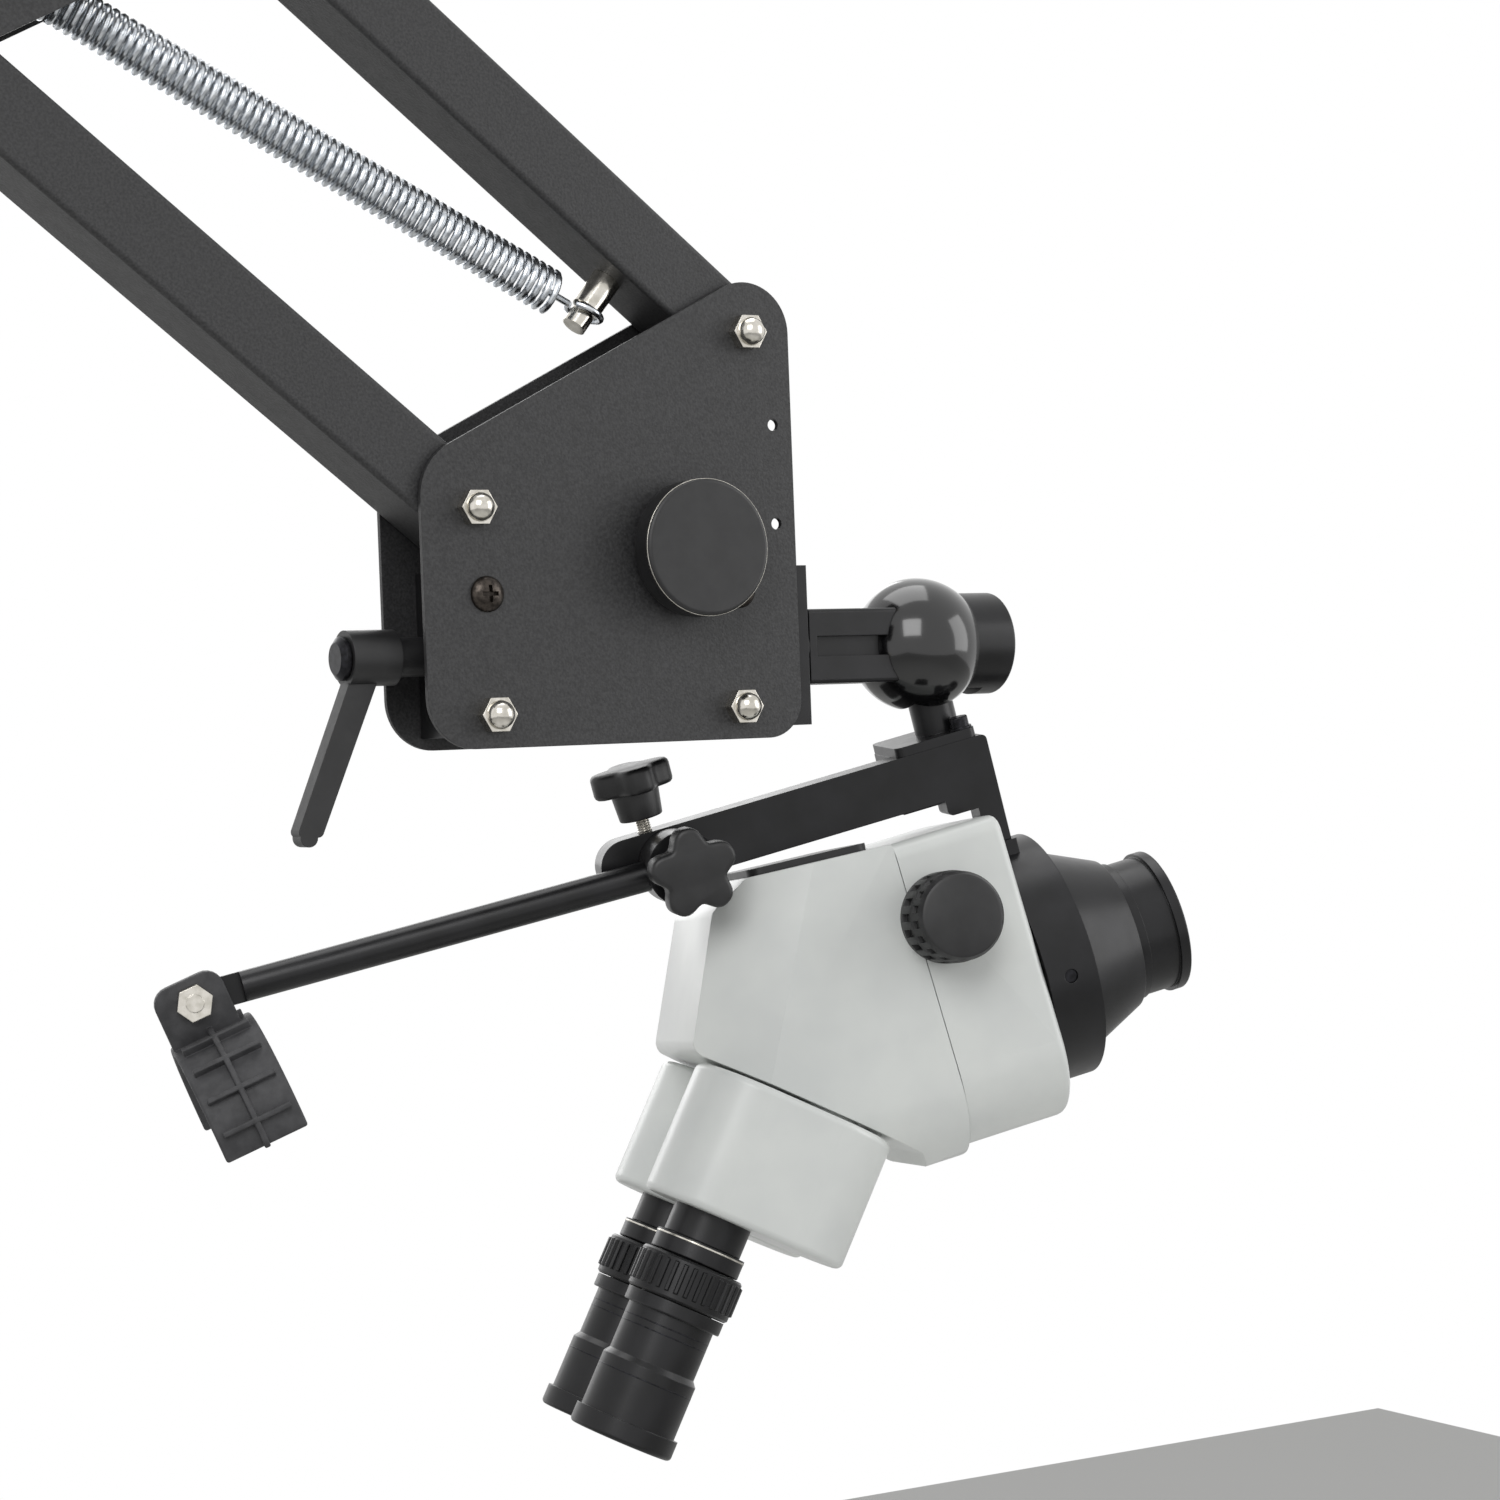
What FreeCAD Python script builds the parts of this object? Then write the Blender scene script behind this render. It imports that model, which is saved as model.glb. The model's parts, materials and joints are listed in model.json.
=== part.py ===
import FreeCAD
import Part
import Sketcher
import math
import os
import re

# Gem-setting microscope: sprung forearm, head plates, ball joint, stereo zoom microscope and brow rest.
# Millimetres. The origin is the upper-left fixing bore of the elbow plates, at mid width. +Z is up.

# Driving sizes

SIZES = (
    # Forearm: two parallel tubes between the elbow plates and the head plates
    ("arm_length", 234.0), ("arm_slope", 39.0), ("tube_height", 25.0), ("tube_width", 29.0),
    ("tube_wall", 2.0), ("tube_overhang", 11.0), ("bush_radius", 5.0), ("washer_radius", 9.0),
    ("washer_thickness", 1.0), ("running_gap", 0.05), ("axial_gap", 0.3),
    # Plates
    ("plate_sheet", 2.0), ("plate_left", 70.0), ("plate_right", 70.5),
    ("plate_drop", 66.0), ("plate_low_shoulder", 28.0), ("plate_high_shoulder", 100.6),
    ("low_pivot_left", 51.0), ("low_pivot_up", 12.7), ("high_pivot_right", 53.3), ("high_pivot_up", 72.4),
    ("bolt_spread", 46.5), ("bolt_drop", 55.0), ("screw_spread", 47.5), ("screw_drop", 15.5),
    ("bolt_radius", 3.0), ("bolt_play", 0.2), ("nut_flats", 11.0), ("nut_height", 4.5), ("dome_radius", 4.8),
    ("spare_hole_right", 63.2), ("spare_hole_high", 41.0), ("spare_hole_low", 7.2), ("spare_hole_radius", 2.0),
    ("low_corner", 17.0), ("right_corner", 13.0), ("top_corner", 17.0), ("left_corner", 20.0),
    # Balance spring
    ("spring_radius", 8.0), ("spring_wire", 1.2), ("anchor_along", 41.2), ("anchor_radius", 4.0),
    ("stud_back", 45.5), ("stud_bush_radius", 5.2), ("stud_bush_length", 13.0), ("stud_screw_radius", 3.0),
    ("stud_head_radius", 4.2), ("stud_head_height", 6.0), ("eye_radius", 6.2),
    # Clamp block, tension knob and lever
    ("block_left", 58.0), ("block_right", 75.5), ("block_top", 7.0), ("block_bottom", 62.0),
    ("bar_drop", 35.0), ("spindle_radius", 10.0), ("tension_right", 28.0), ("tension_drop", 1.5),
    ("tension_radius", 23.0), ("tension_thickness", 11.0), ("tension_neck", 10.0), ("tension_stand", 4.0),
    ("tension_stud", 4.0), ("sleeve_radius", 6.5), ("sleeve_length", 17.0), ("hub_radius", 9.2),
    ("hub_length", 16.0), ("lever_reach", 57.5), ("lever_lean", 19.8), ("lever_screw", 4.0),
    # Swivelling bar and ball joint
    ("bar_side", 26.0), ("bar_groove", 7.0), ("bar_groove_depth", 3.5),
    ("flange_thickness", 2.0), ("ball_right", 129.4), ("ball_radius", 23.8), ("inner_ball_radius", 14.0),
    ("collar_radius", 18.2), ("collar_start", 15.0), ("collar_end", 31.0), ("collar_bore", 11.0),
    ("pad_start", 8.0), ("clamp_screw_start", 20.0), ("clamp_screw_radius", 4.0), ("clamp_nut_radius", 6.3),
    ("clamp_nut_end", 38.0), ("slot_clearance", 0.6), ("trunnion_radius", 4.0), ("trunnion_reach", 20.0),
    ("stem_radius", 8.0), ("stem_journal", 5.0), ("stem_bottom", 32.0),
    ("head_tilt", 14.0), ("head_spin", -15.0), ("saddle_bottom", 60.5),
    # Carrier: flange, plate, spacer block, ring
    ("flange_left", 21.0), ("flange_right", 9.5), ("flange_side", 15.0), ("foot_thickness", 3.5),
    ("carrier_near", 15.0), ("carrier_sheet", 10.0), ("carrier_bar_height", 19.5), ("carrier_reach", 134.5),
    ("leg_left", 8.0), ("leg_right", 12.5), ("leg_bottom", 74.5), ("spacer_bottom", 57.0),
    ("axis_drop", 122.0), ("ring_start", 3.4), ("ring_end", 22.0), ("ring_radius", 45.0), ("ring_bore", 38.06),
    ("boss_side", 16.0), ("grub_radius", 2.5), ("cap_screw_radius", 3.3), ("cap_screw_height", 4.5),
    ("foot_screw_right", 5.2), ("foot_screw_near", 11.0), ("foot_washer_radius", 4.0),
    # Brow rest
    ("clamp_inset", 25.5), ("clamp_down", 49.0), ("clamp_radius", 13.0), ("clamp_depth", 14.0),
    ("rod_radius", 5.25), ("rod_right", 96.0), ("star_radius", 15.5),
    ("star_thickness", 12.0), ("star_collar", 6.0), ("tee_inset", 19.5), ("tee_radius", 13.5),
    ("tee_height", 10.0), ("tee_neck", 6.5), ("tee_stand", 17.5), ("tee_stud", 2.6),
    ("brow_along", 281.0), ("brow_tab", 4.0),
    ("brow_crown_drop", 12.0), ("brow_leg_drop", 31.0), ("brow_radius", 33.0),
    ("brow_wall", 3.5), ("brow_width", 28.8), ("brow_tilt", 10.0), ("brow_left", 13.0), ("brow_bolt", 3.0),
    ("rod_lift", 1.3), ("rod_flat_length", 17.0), ("tab_left", 12.6), ("tab_right", 11.6), ("tab_top", 8.0),
    # Microscope
    ("scope_roll", 8.0), ("scope_half_width", 45.0), ("scope_top", 56.0), ("scope_bottom", 54.0),
    ("shell_round", 28.0), ("main_step", 3.0),
    ("seam_along", 37.0), ("shell_end", 3.0), ("shell_wall", 3.0), ("nose_radius", 38.0), ("nose_end", 22.4),
    ("cone_start_radius", 38.6), ("cone_end_radius", 28.0), ("cone_end", 46.0), ("cone_step", 50.0),
    ("lens_radius", 24.7), ("lens_rim_radius", 26.0), ("lens_rim_start", 61.5), ("lens_end", 65.5),
    ("lens_bore", 21.0),
    ("knob_along", 26.5), ("knob_up", 26.4), ("zoom_knob_radius", 16.0), ("zoom_knob_length", 23.0),
    ("zoom_shaft_radius", 4.0), ("cover_thickness", 2.5),
    # Prism housings and eyepieces
    ("tube_angle", 49.8), ("prism_start", 75.5), ("prism_depth", 47.0), ("prism_length", 73.5),
    ("prism_width", 48.0), ("pupil_half", 28.0), ("eye_pivot", 44.4), ("eye_offset", 24.0),
    ("turn_journal", 11.0), ("sleeve_outer", 14.0), ("sleeve_out", 10.0), ("eyepiece_tube", 11.6),
    ("smooth_ring_radius", 16.0), ("smooth_ring_end", 17.0), ("knurl_radius", 19.0), ("knurl_end", 32.0),
    ("step_ring_radius", 17.5), ("step_ring_end", 37.0), ("barrel_radius", 15.5), ("barrel_end", 54.0),
    ("eye_body_radius", 17.0), ("eye_body_end", 75.0), ("eye_rim_radius", 18.5), ("eye_end", 82.0),
)

doc = FreeCAD.newDocument("GemMicroscope")
sheet = doc.addObject("Spreadsheet::Sheet", "Sizes")
for row, (alias, size) in enumerate(SIZES, 1):
    sheet.set(f"A{row}", alias)
    sheet.set(f"B{row}", str(size))
    sheet.setAlias(f"B{row}", alias)
doc.recompute()
ALIASES = {alias for alias, size in SIZES}
DERIVED = {
    "plate_gap": "(tube_width + 2 * washer_thickness)",
    "clamp_along": "(carrier_reach - clamp_inset)",
    "tee_along": "(carrier_reach - tee_inset)",
}
FINISHED = []


def tied(text):
    """The same expression with each driving size read from the sheet."""
    for name, formula in DERIVED.items():
        text = re.sub(rf"\b{name}\b", formula, text)
    return re.sub(r"[a-z][a-z_]*", lambda word: "Sizes." + word.group() if word.group() in ALIASES
                  else word.group(), text)


def value(text):
    return float(sheet.evalExpression(tied(text)))


def vector(x="0", y="0", z="0"):
    return FreeCAD.Vector(value(x), value(y), value(z))


# Places that several pieces share

ELBOW = vector("bolt_spread", "0", "0 - bolt_drop")
TO_HIGH = vector("high_pivot_right", "0", "high_pivot_up")
TO_LOW = vector("0 - low_pivot_left", "0", "low_pivot_up")
ELBOW_LOW = ELBOW - TO_HIGH
ELBOW_HIGH = ELBOW - TO_LOW
ARM_TURN = FreeCAD.Rotation(FreeCAD.Vector(0, 1, 0), value("arm_slope"))
ALONG_ARM = ARM_TURN.multVec(vector("arm_length"))
HEAD = ELBOW_LOW + ALONG_ARM - TO_LOW
PIVOT_LINE = (ELBOW_HIGH - ELBOW_LOW).normalize()
ANCHOR = ELBOW_LOW + PIVOT_LINE * value("anchor_along")
BALL = HEAD + vector("ball_right", "0", "0 - bar_drop")

AT_ELBOW = FreeCAD.Placement(ELBOW, FreeCAD.Rotation())
AT_HEAD = FreeCAD.Placement(HEAD, FreeCAD.Rotation())
ON_LOW_TUBE = FreeCAD.Placement(ELBOW_LOW, ARM_TURN)
ON_HIGH_TUBE = FreeCAD.Placement(ELBOW_HIGH, ARM_TURN)
TILT = FreeCAD.Rotation(FreeCAD.Vector(0, 1, 0), -value("head_tilt"))
SPIN = FreeCAD.Rotation(FreeCAD.Vector(0, 0, 1), value("head_spin"))
AT_BALL = FreeCAD.Placement(BALL, FreeCAD.Rotation())
AT_TILT = FreeCAD.Placement(BALL, TILT)
AT_STEM = FreeCAD.Placement(BALL, TILT.multiply(SPIN))
ROLL = FreeCAD.Rotation(FreeCAD.Vector(1, 0, 0), -value("scope_roll"))
AT_SCOPE = AT_STEM.multiply(FreeCAD.Placement(vector("0", "0", "0 - axis_drop"), ROLL))
TUBE_TURN = FreeCAD.Rotation(FreeCAD.Vector(0, 1, 0), 180 + 90 - value("tube_angle"))
AT_TUBES = AT_SCOPE.multiply(FreeCAD.Placement(FreeCAD.Vector(), TUBE_TURN))


# Modelling helpers

def finish(piece, label, placement=None):
    """Give a piece its name and place, and keep it for export; one with a place of its own is wrapped."""
    if placement is not None and piece.TypeId in ("Part::Cylinder", "Part::Box", "Part::Fillet"):
        piece = group(label + "_placed", piece)
    piece.Label = label
    if placement is not None:
        piece.Placement = placement
    FINISHED.append(piece)
    return piece


def tie(piece, **sizes):
    for name, text in sizes.items():
        piece.setExpression(name, tied(text))
    return piece


def primitive(kind, name, position=None, turn=None, **sizes):
    piece = tie(doc.addObject("Part::" + kind, name), **sizes)
    piece.Placement = FreeCAD.Placement(position or FreeCAD.Vector(), turn or FreeCAD.Rotation())
    return piece


AXES = {"X": FreeCAD.Rotation(FreeCAD.Vector(0, 1, 0), 90), "Y": FreeCAD.Rotation(FreeCAD.Vector(1, 0, 0), -90),
        "Z": FreeCAD.Rotation()}


def cylinder(name, radius, start, length, axis="Z"):
    """A cylinder whose low end is at start and which runs along +X, +Y or +Z."""
    return primitive("Cylinder", name, vector(*start), AXES[axis], Radius=radius, Height=length)


def box(name, low, size):
    return primitive("Box", name, vector(*low), None, Length=size[0], Width=size[1], Height=size[2])


def joined(name, *pieces):
    fuse = doc.addObject("Part::MultiFuse", name)
    fuse.Shapes = list(pieces)
    return fuse


def group(name, *pieces):
    compound = doc.addObject("Part::Compound", name)
    compound.Links = list(pieces)
    return compound


def cut(name, base, *tools):
    tool = tools[0] if len(tools) == 1 else joined(name + "_tools", *tools)
    result = doc.addObject("Part::Cut", name)
    result.Base = base
    result.Tool = tool
    return result


def common(name, first, second):
    result = doc.addObject("Part::Common", name)
    result.Base = first
    result.Tool = second
    return result


def corner_arc(before, corner, after, radius):
    """Tangent points and mid point of a round of that radius between two sides."""
    one = (before - corner).normalize()
    two = (after - corner).normalize()
    half = one.getAngle(two) / 2
    reach = radius / math.tan(half)
    middle = (one + two).normalize()
    return (corner + one * reach, corner + middle * (radius / math.sin(half) - radius), corner + two * reach)


def outline(body, name, role, points, holes=()):
    """A closed sketch of straight sides; a third item of a point rounds its corner."""
    sketch = body.newObject("Sketcher::SketchObject", name)
    plane = next(feature for feature in body.Origin.OriginFeatures if feature.Role == role)
    sketch.AttachmentSupport = [(plane, "")]
    sketch.MapMode = "FlatFace"
    spots = [vector(point[0], point[1]) for point in points]
    count = len(points)
    rounds = []
    for number, point in enumerate(points):
        if len(point) > 2:
            arc = corner_arc(spots[number - 1], spots[number], spots[(number + 1) % count], value(point[2]))
            rounds.append(arc)
        else:
            rounds.append(None)
    for number in range(count):
        following = (number + 1) % count
        start = rounds[number][2] if rounds[number] else spots[number]
        end = rounds[following][0] if rounds[following] else spots[following]
        sketch.addGeometry(Part.LineSegment(start, end), False)
    for number, point in enumerate(points):
        before = (number - 1) % count
        if rounds[number] is None:
            sketch.addConstraint(Sketcher.Constraint("Coincident", before, 2, number, 1))
            fixed, spot = number, 1
        else:
            arc = sketch.addGeometry(Part.Arc(*rounds[number]), False)
            first = 1 if (sketch.getPoint(arc, 1) - rounds[number][0]).Length < 1e-6 else 2
            sketch.addConstraint(Sketcher.Constraint("Tangent", before, 2, arc, first))
            sketch.addConstraint(Sketcher.Constraint("Tangent", number, 1, arc, 3 - first))
            size = sketch.addConstraint(Sketcher.Constraint("Radius", arc, value(point[2])))
            sketch.setExpression(f"Constraints[{size}]", tied(point[2]))
            fixed, spot = sketch.addGeometry(Part.Point(spots[number]), True), 1
            sketch.addConstraint(Sketcher.Constraint("PointOnObject", fixed, 1, before))
            sketch.addConstraint(Sketcher.Constraint("PointOnObject", fixed, 1, number))
        pin(sketch, fixed, spot, point[0], point[1])
    for across, up, radius in holes:
        circle = sketch.addGeometry(Part.Circle(vector(across, up), FreeCAD.Vector(0, 0, 1), value(radius)))
        size = sketch.addConstraint(Sketcher.Constraint("Radius", circle, value(radius)))
        sketch.setExpression(f"Constraints[{size}]", tied(radius))
        pin(sketch, circle, 3, across, up)
    return sketch


def pin(sketch, geometry, spot, across, up):
    for kind, text in (("DistanceX", across), ("DistanceY", up)):
        number = sketch.addConstraint(Sketcher.Constraint(kind, -1, 1, geometry, spot, value(text)))
        sketch.setExpression(f"Constraints[{number}]", tied(text))


def turned(name, points, turn="360"):
    """A body turned about its Z axis from (radius, height) points."""
    body = doc.addObject("PartDesign::Body", name)
    sketch = outline(body, name + "_outline", "XZ_Plane", points)
    feature = body.newObject("PartDesign::Revolution", name + "_turning")
    feature.Profile = (sketch, [""])
    feature.ReferenceAxis = (sketch, ["V_Axis"])
    feature.setExpression("Angle", turn)
    return body


def sheet_cut(name, points, thickness, holes=(), role="XZ_Plane"):
    """A body padded both ways from its plane."""
    body = doc.addObject("PartDesign::Body", name)
    sketch = outline(body, name + "_outline", role, points, holes)
    pad = body.newObject("PartDesign::Pad", name + "_pad")
    pad.Profile = (sketch, [""])
    pad.Midplane = True
    pad.setExpression("Length", tied(thickness))
    return body


def shifted(placement, x="0", y="0", z="0", turn=None):
    """A place inside a frame."""
    return placement.multiply(FreeCAD.Placement(vector(x, y, z), turn or FreeCAD.Rotation()))


def rounded_edges(name, base, radius, wanted):
    """Round the edges of base whose middle point passes the test."""
    doc.recompute()
    fillet = doc.addObject("Part::Fillet", name)
    fillet.Base = base
    chosen = []
    for number, edge in enumerate(base.Shape.Edges, 1):
        if wanted(edge.valueAt((edge.FirstParameter + edge.LastParameter) / 2), edge):
            chosen.append((number, value(radius), value(radius)))
    fillet.Edges = chosen
    return fillet


# Plates

def plate_outline(side):
    """The five-sided plate; side is -1 for the elbow's, which is the head's turned half round."""
    corners = (("0 - plate_left", "0 - plate_drop", "low_corner"), ("plate_right", "0 - plate_drop", "right_corner"),
               ("plate_right", "plate_high_shoulder", "top_corner"),
               ("0 - plate_left", "plate_low_shoulder", "left_corner"))
    if side > 0:
        return corners
    return tuple((f"0 - ({across})", f"0 - ({up})", radius) for across, up, radius in corners)


def plate_pair(prefix, side, holes, placement):
    for face, shift in (("near", "0 - (plate_gap + plate_sheet) / 2"), ("far", "(plate_gap + plate_sheet) / 2")):
        body = sheet_cut(f"{prefix}_plate_{face}", plate_outline(side), "plate_sheet", holes)
        finish(body, f"{prefix}_plate_{face}", shifted(placement, "0", shift))


HOLE = "bolt_radius + bolt_play"
LOW_PIVOT = ("0 - low_pivot_left", "low_pivot_up", HOLE)
HIGH_PIVOT = ("high_pivot_right", "high_pivot_up", HOLE)
HEAD_HOLES = (LOW_PIVOT, HIGH_PIVOT, ("0 - bolt_spread", "0 - bolt_drop", HOLE), ("bolt_spread", "0 - bolt_drop", HOLE),
              ("0 - screw_spread", "0 - screw_drop", HOLE), ("screw_spread", "0 - screw_drop", HOLE),
              ("spare_hole_right", "spare_hole_high", "spare_hole_radius"),
              ("spare_hole_right", "spare_hole_low", "spare_hole_radius"),
              ("tension_right", "0 - tension_drop", "tension_stud + bolt_play"))
anchor_in_plate = ANCHOR - ELBOW
ELBOW_HOLES = (("low_pivot_left", "0 - low_pivot_up", HOLE), ("0 - high_pivot_right", "0 - high_pivot_up", HOLE),
               ("bolt_spread", "bolt_drop", HOLE), ("0 - bolt_spread", "bolt_drop", HOLE),
               (str(anchor_in_plate.x), str(anchor_in_plate.z), HOLE))
plate_pair("elbow", -1, ELBOW_HOLES, AT_ELBOW)
plate_pair("head", 1, HEAD_HOLES, AT_HEAD)


# Bolts: a shank through both plates, a domed nut on the near side, a hexagon head on the far side

def hexagon(name, start, height, axis="Y"):
    prism = primitive("Prism", name, start, AXES[axis], Circumradius="nut_flats / sqrt(3)", Height=height)
    prism.Polygon = 6
    return prism


def plate_bolt(name, place):
    half = value("plate_gap / 2 + plate_sheet")
    down = FreeCAD.Vector(0, -half - value("nut_height"), 0)
    shank = primitive("Cylinder", name + "_shank", place + FreeCAD.Vector(0, -half - 1, 0), AXES["Y"],
                      Radius="bolt_radius", Height="plate_gap + 2 * plate_sheet + 2")
    nut = hexagon(name + "_nut", place + down, "nut_height")
    dome = primitive("Sphere", name + "_dome", place + down, None, Radius="dome_radius")
    head = hexagon(name + "_head", place + FreeCAD.Vector(0, half, 0), "nut_height")
    return joined(name, shank, nut, dome, head)


finish(group("elbow_bolts", plate_bolt("elbow_low_bolt", -TO_HIGH), plate_bolt("elbow_high_bolt", -TO_LOW)),
       "elbow_pivot_bolts", AT_ELBOW)
finish(group("four_bolts", plate_bolt("head_low_bolt", TO_LOW), plate_bolt("head_high_bolt", TO_HIGH),
             plate_bolt("block_left_bolt", vector("0 - bolt_spread", "0", "0 - bolt_drop")),
             plate_bolt("block_right_bolt", vector("bolt_spread", "0", "0 - bolt_drop"))), "head_bolts", AT_HEAD)

# Pan-head screws: two on each side, into the block
SCREW_LENGTH = "plate_sheet + 9"
screws = []
for face, sense in (("near", 1), ("far", -1)):
    for number, across in enumerate(("0 - screw_spread", "screw_spread")):
        screw = turned(f"pan_screw_{face}_{number}", (("0", "0 - 3"), ("3", "0 - 3"), ("5.4", "0 - 1.6"),
                                                      ("6", "0"), ("bolt_radius - 0.4", "0"),
                                                      ("bolt_radius - 0.4", SCREW_LENGTH), ("0", SCREW_LENGTH)))
        spot = FreeCAD.Vector(value(across), -sense * value("plate_gap / 2 + plate_sheet"), -value("screw_drop"))
        screw.Placement = FreeCAD.Placement(spot, FreeCAD.Rotation(FreeCAD.Vector(1, 0, 0), -90 * sense))
        screws.append(screw)
finish(group("pan_screws", *screws), "head_plate_screws", AT_HEAD)


# Tubes, with bushes and washers on their pivots

def arm_tube(name, placement, extra=()):
    outer = box(name + "_outer", ("0 - tube_overhang", "0 - tube_width / 2", "0 - tube_height / 2"),
                ("arm_length + 2 * tube_overhang", "tube_width", "tube_height"))
    inner = box(name + "_inner", ("0 - tube_overhang - 1", "tube_wall - tube_width / 2",
                                  "tube_wall - tube_height / 2"),
                ("arm_length + 2 * tube_overhang + 2", "tube_width - 2 * tube_wall", "tube_height - 2 * tube_wall"))
    holes = [cylinder(f"{name}_hole_{end}", "bush_radius", (end, "0 - tube_width", "0"), "2 * tube_width", "Y")
             for end in ("0", "arm_length")]
    holes[0].Label = name + "_hole_start"
    long_edges = rounded_edges(name + "_rounded", outer, "2", lambda spot, edge: edge.Length > value("arm_length"))
    finish(cut(name, long_edges, inner, *holes, *extra), name, placement)
    bushes = []
    washers = []
    for number, end in enumerate(("0", "arm_length")):
        body = cylinder(f"{name}_bush_{number}", "bush_radius", (end, "0 - tube_width / 2", "0"), "tube_width", "Y")
        bore = cylinder(f"{name}_bush_bore_{number}", "bolt_radius + running_gap", (end, "0 - tube_width", "0"),
                        "2 * tube_width", "Y")
        bushes.append(cut(f"{name}_bushing_{number}", body, bore))
        for face, start in (("near", "0 - plate_gap / 2"), ("far", "tube_width / 2")):
            disc = cylinder(f"{name}_disc_{face}_{number}", "washer_radius", (end, start, "0"),
                            "washer_thickness", "Y")
            hole = cylinder(f"{name}_disc_bore_{face}_{number}", "bolt_radius + bolt_play",
                            (end, "0 - plate_gap", "0"), "2 * plate_gap", "Y")
            washers.append(cut(f"{name}_washer_{face}_{number}", disc, hole))
    finish(group(name + "_bush_set", *bushes, *washers), name + "_bushes", placement)


STUD = ("arm_length - stud_back", "0", "0 - tube_height / 2")
stud_hole = cylinder("stud_hole", "stud_screw_radius + bolt_play", (STUD[0], "0", "0 - tube_height"), "tube_height")
arm_tube("upper_tube", ON_HIGH_TUBE, (stud_hole,))
arm_tube("lower_tube", ON_LOW_TUBE)

# Spring stud under the upper tube: bush, eye of the spring, washer and cap screw
eye_depth = "2 * spring_wire + 0.6"
bush_body = cylinder("stud_bush_body", "stud_bush_radius", (STUD[0], "0", "0 - tube_height / 2 - stud_bush_length"),
                     "stud_bush_length")
bush_bore = cylinder("stud_bush_bore", "stud_screw_radius + bolt_play", (STUD[0], "0", "0 - 2 * tube_height"),
                     "2 * tube_height")
screw_low = f"0 - tube_height / 2 - stud_bush_length - {eye_depth} - stud_head_height"
stud_shank = cylinder("stud_shank", "stud_screw_radius", (STUD[0], "0", screw_low),
                      f"stud_head_height + {eye_depth} + stud_bush_length + 2 * tube_wall")
stud_head = cylinder("stud_head", "stud_head_radius", (STUD[0], "0", screw_low), "stud_head_height")
stud_nut = hexagon("stud_nut", vector(STUD[0], "0", "tube_wall - tube_height / 2"), "2", "Z")
finish(group("stud_set", cut("spring_bush", bush_body, bush_bore), joined("stud_screw", stud_shank, stud_head, stud_nut)),
       "spring_stud", ON_HIGH_TUBE)

# Anchor pin of the spring across the elbow plates
anchor_body = primitive("Cylinder", "anchor_body", ANCHOR + vector("0", "0 - plate_gap / 2"), AXES["Y"],
                        Radius="anchor_radius", Height="plate_gap")
anchor_ends = primitive("Cylinder", "anchor_ends", ANCHOR + vector("0", "0 - plate_gap / 2 - plate_sheet - 2"),
                        AXES["Y"], Radius="bolt_radius", Height="plate_gap + 2 * plate_sheet + 4")
anchor_near = hexagon("anchor_near", ANCHOR + vector("0", "0 - plate_gap / 2 - plate_sheet - nut_height"), "nut_height")
anchor_far = hexagon("anchor_far", ANCHOR + vector("0", "plate_gap / 2 + plate_sheet"), "nut_height")
finish(joined("anchor_pin", anchor_body, anchor_ends, anchor_near, anchor_far), "spring_anchor_pin")

# Balance spring: the coil's envelope between two hooked eyes
EYE = ON_HIGH_TUBE.multVec(vector(STUD[0], "0", f"0 - tube_height / 2 - stud_bush_length - spring_wire - 0.3"))
SPRING_SPAN = (ANCHOR - EYE).Length
SPRING_TURN = FreeCAD.Rotation(FreeCAD.Vector(1, 0, 0), ANCHOR - EYE)
AT_SPRING = FreeCAD.Placement(EYE, SPRING_TURN)
HOOK = 14.0
wire = value("spring_wire")
forward = FreeCAD.Vector(1, 0, 0)
coil = Part.makeCylinder(value("spring_radius"), SPRING_SPAN - 2 * HOOK, forward * HOOK, forward)
coil = coil.cut(Part.makeCylinder(value("spring_radius") - 2 * wire, SPRING_SPAN - 2 * HOOK - 4 * wire,
                                  forward * (HOOK + 2 * wire), forward))
eye_axis = AT_SPRING.Rotation.inverted().multVec(ARM_TURN.multVec(FreeCAD.Vector(0, 0, 1)))
anchor_eye = value("anchor_radius") + 1.5 * wire
near_eye = Part.makeTorus(value("eye_radius"), wire, FreeCAD.Vector(), eye_axis)
far_eye = Part.makeTorus(anchor_eye, wire, forward * SPRING_SPAN, FreeCAD.Vector(0, 1, 0))
near_hook = Part.makeCylinder(wire, HOOK + wire - value("eye_radius"), forward * value("eye_radius"), forward)
far_hook = Part.makeCylinder(wire, HOOK + wire - anchor_eye, forward * (SPRING_SPAN - HOOK - wire), forward)
spring = doc.addObject("Part::Feature", "spring_envelope")
spring.Shape = coil.fuse([near_eye, far_eye, near_hook, far_hook])
finish(spring, "balance_spring", AT_SPRING)

# Clamp block between the head plates, bored for the spindle
block_body = box("block_body", ("0 - block_left", "0 - plate_gap / 2", "0 - block_bottom"),
                 ("block_left + block_right", "plate_gap", "block_bottom - block_top"))
block_bore = cylinder("block_bore", "spindle_radius + running_gap", ("0 - block_left - 1", "0", "0 - bar_drop"),
                      "block_left + block_right + 2", "X")
bolt_holes = [cylinder(f"block_hole_{number}", HOLE, (across, "0 - plate_gap", "0 - bolt_drop"), "2 * plate_gap", "Y")
              for number, across in enumerate(("0 - bolt_spread", "bolt_spread"))]
screw_holes = [cylinder(f"block_screw_hole_{number}", "bolt_radius - 0.4", (across, start, "0 - screw_drop"), "9.5", "Y")
               for number, (across, start) in enumerate((("0 - screw_spread", "0 - plate_gap / 2 - 0.1"),
                                                         ("screw_spread", "0 - plate_gap / 2 - 0.1"),
                                                         ("0 - screw_spread", "plate_gap / 2 - 9.4"),
                                                         ("screw_spread", "plate_gap / 2 - 9.4")))]
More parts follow.
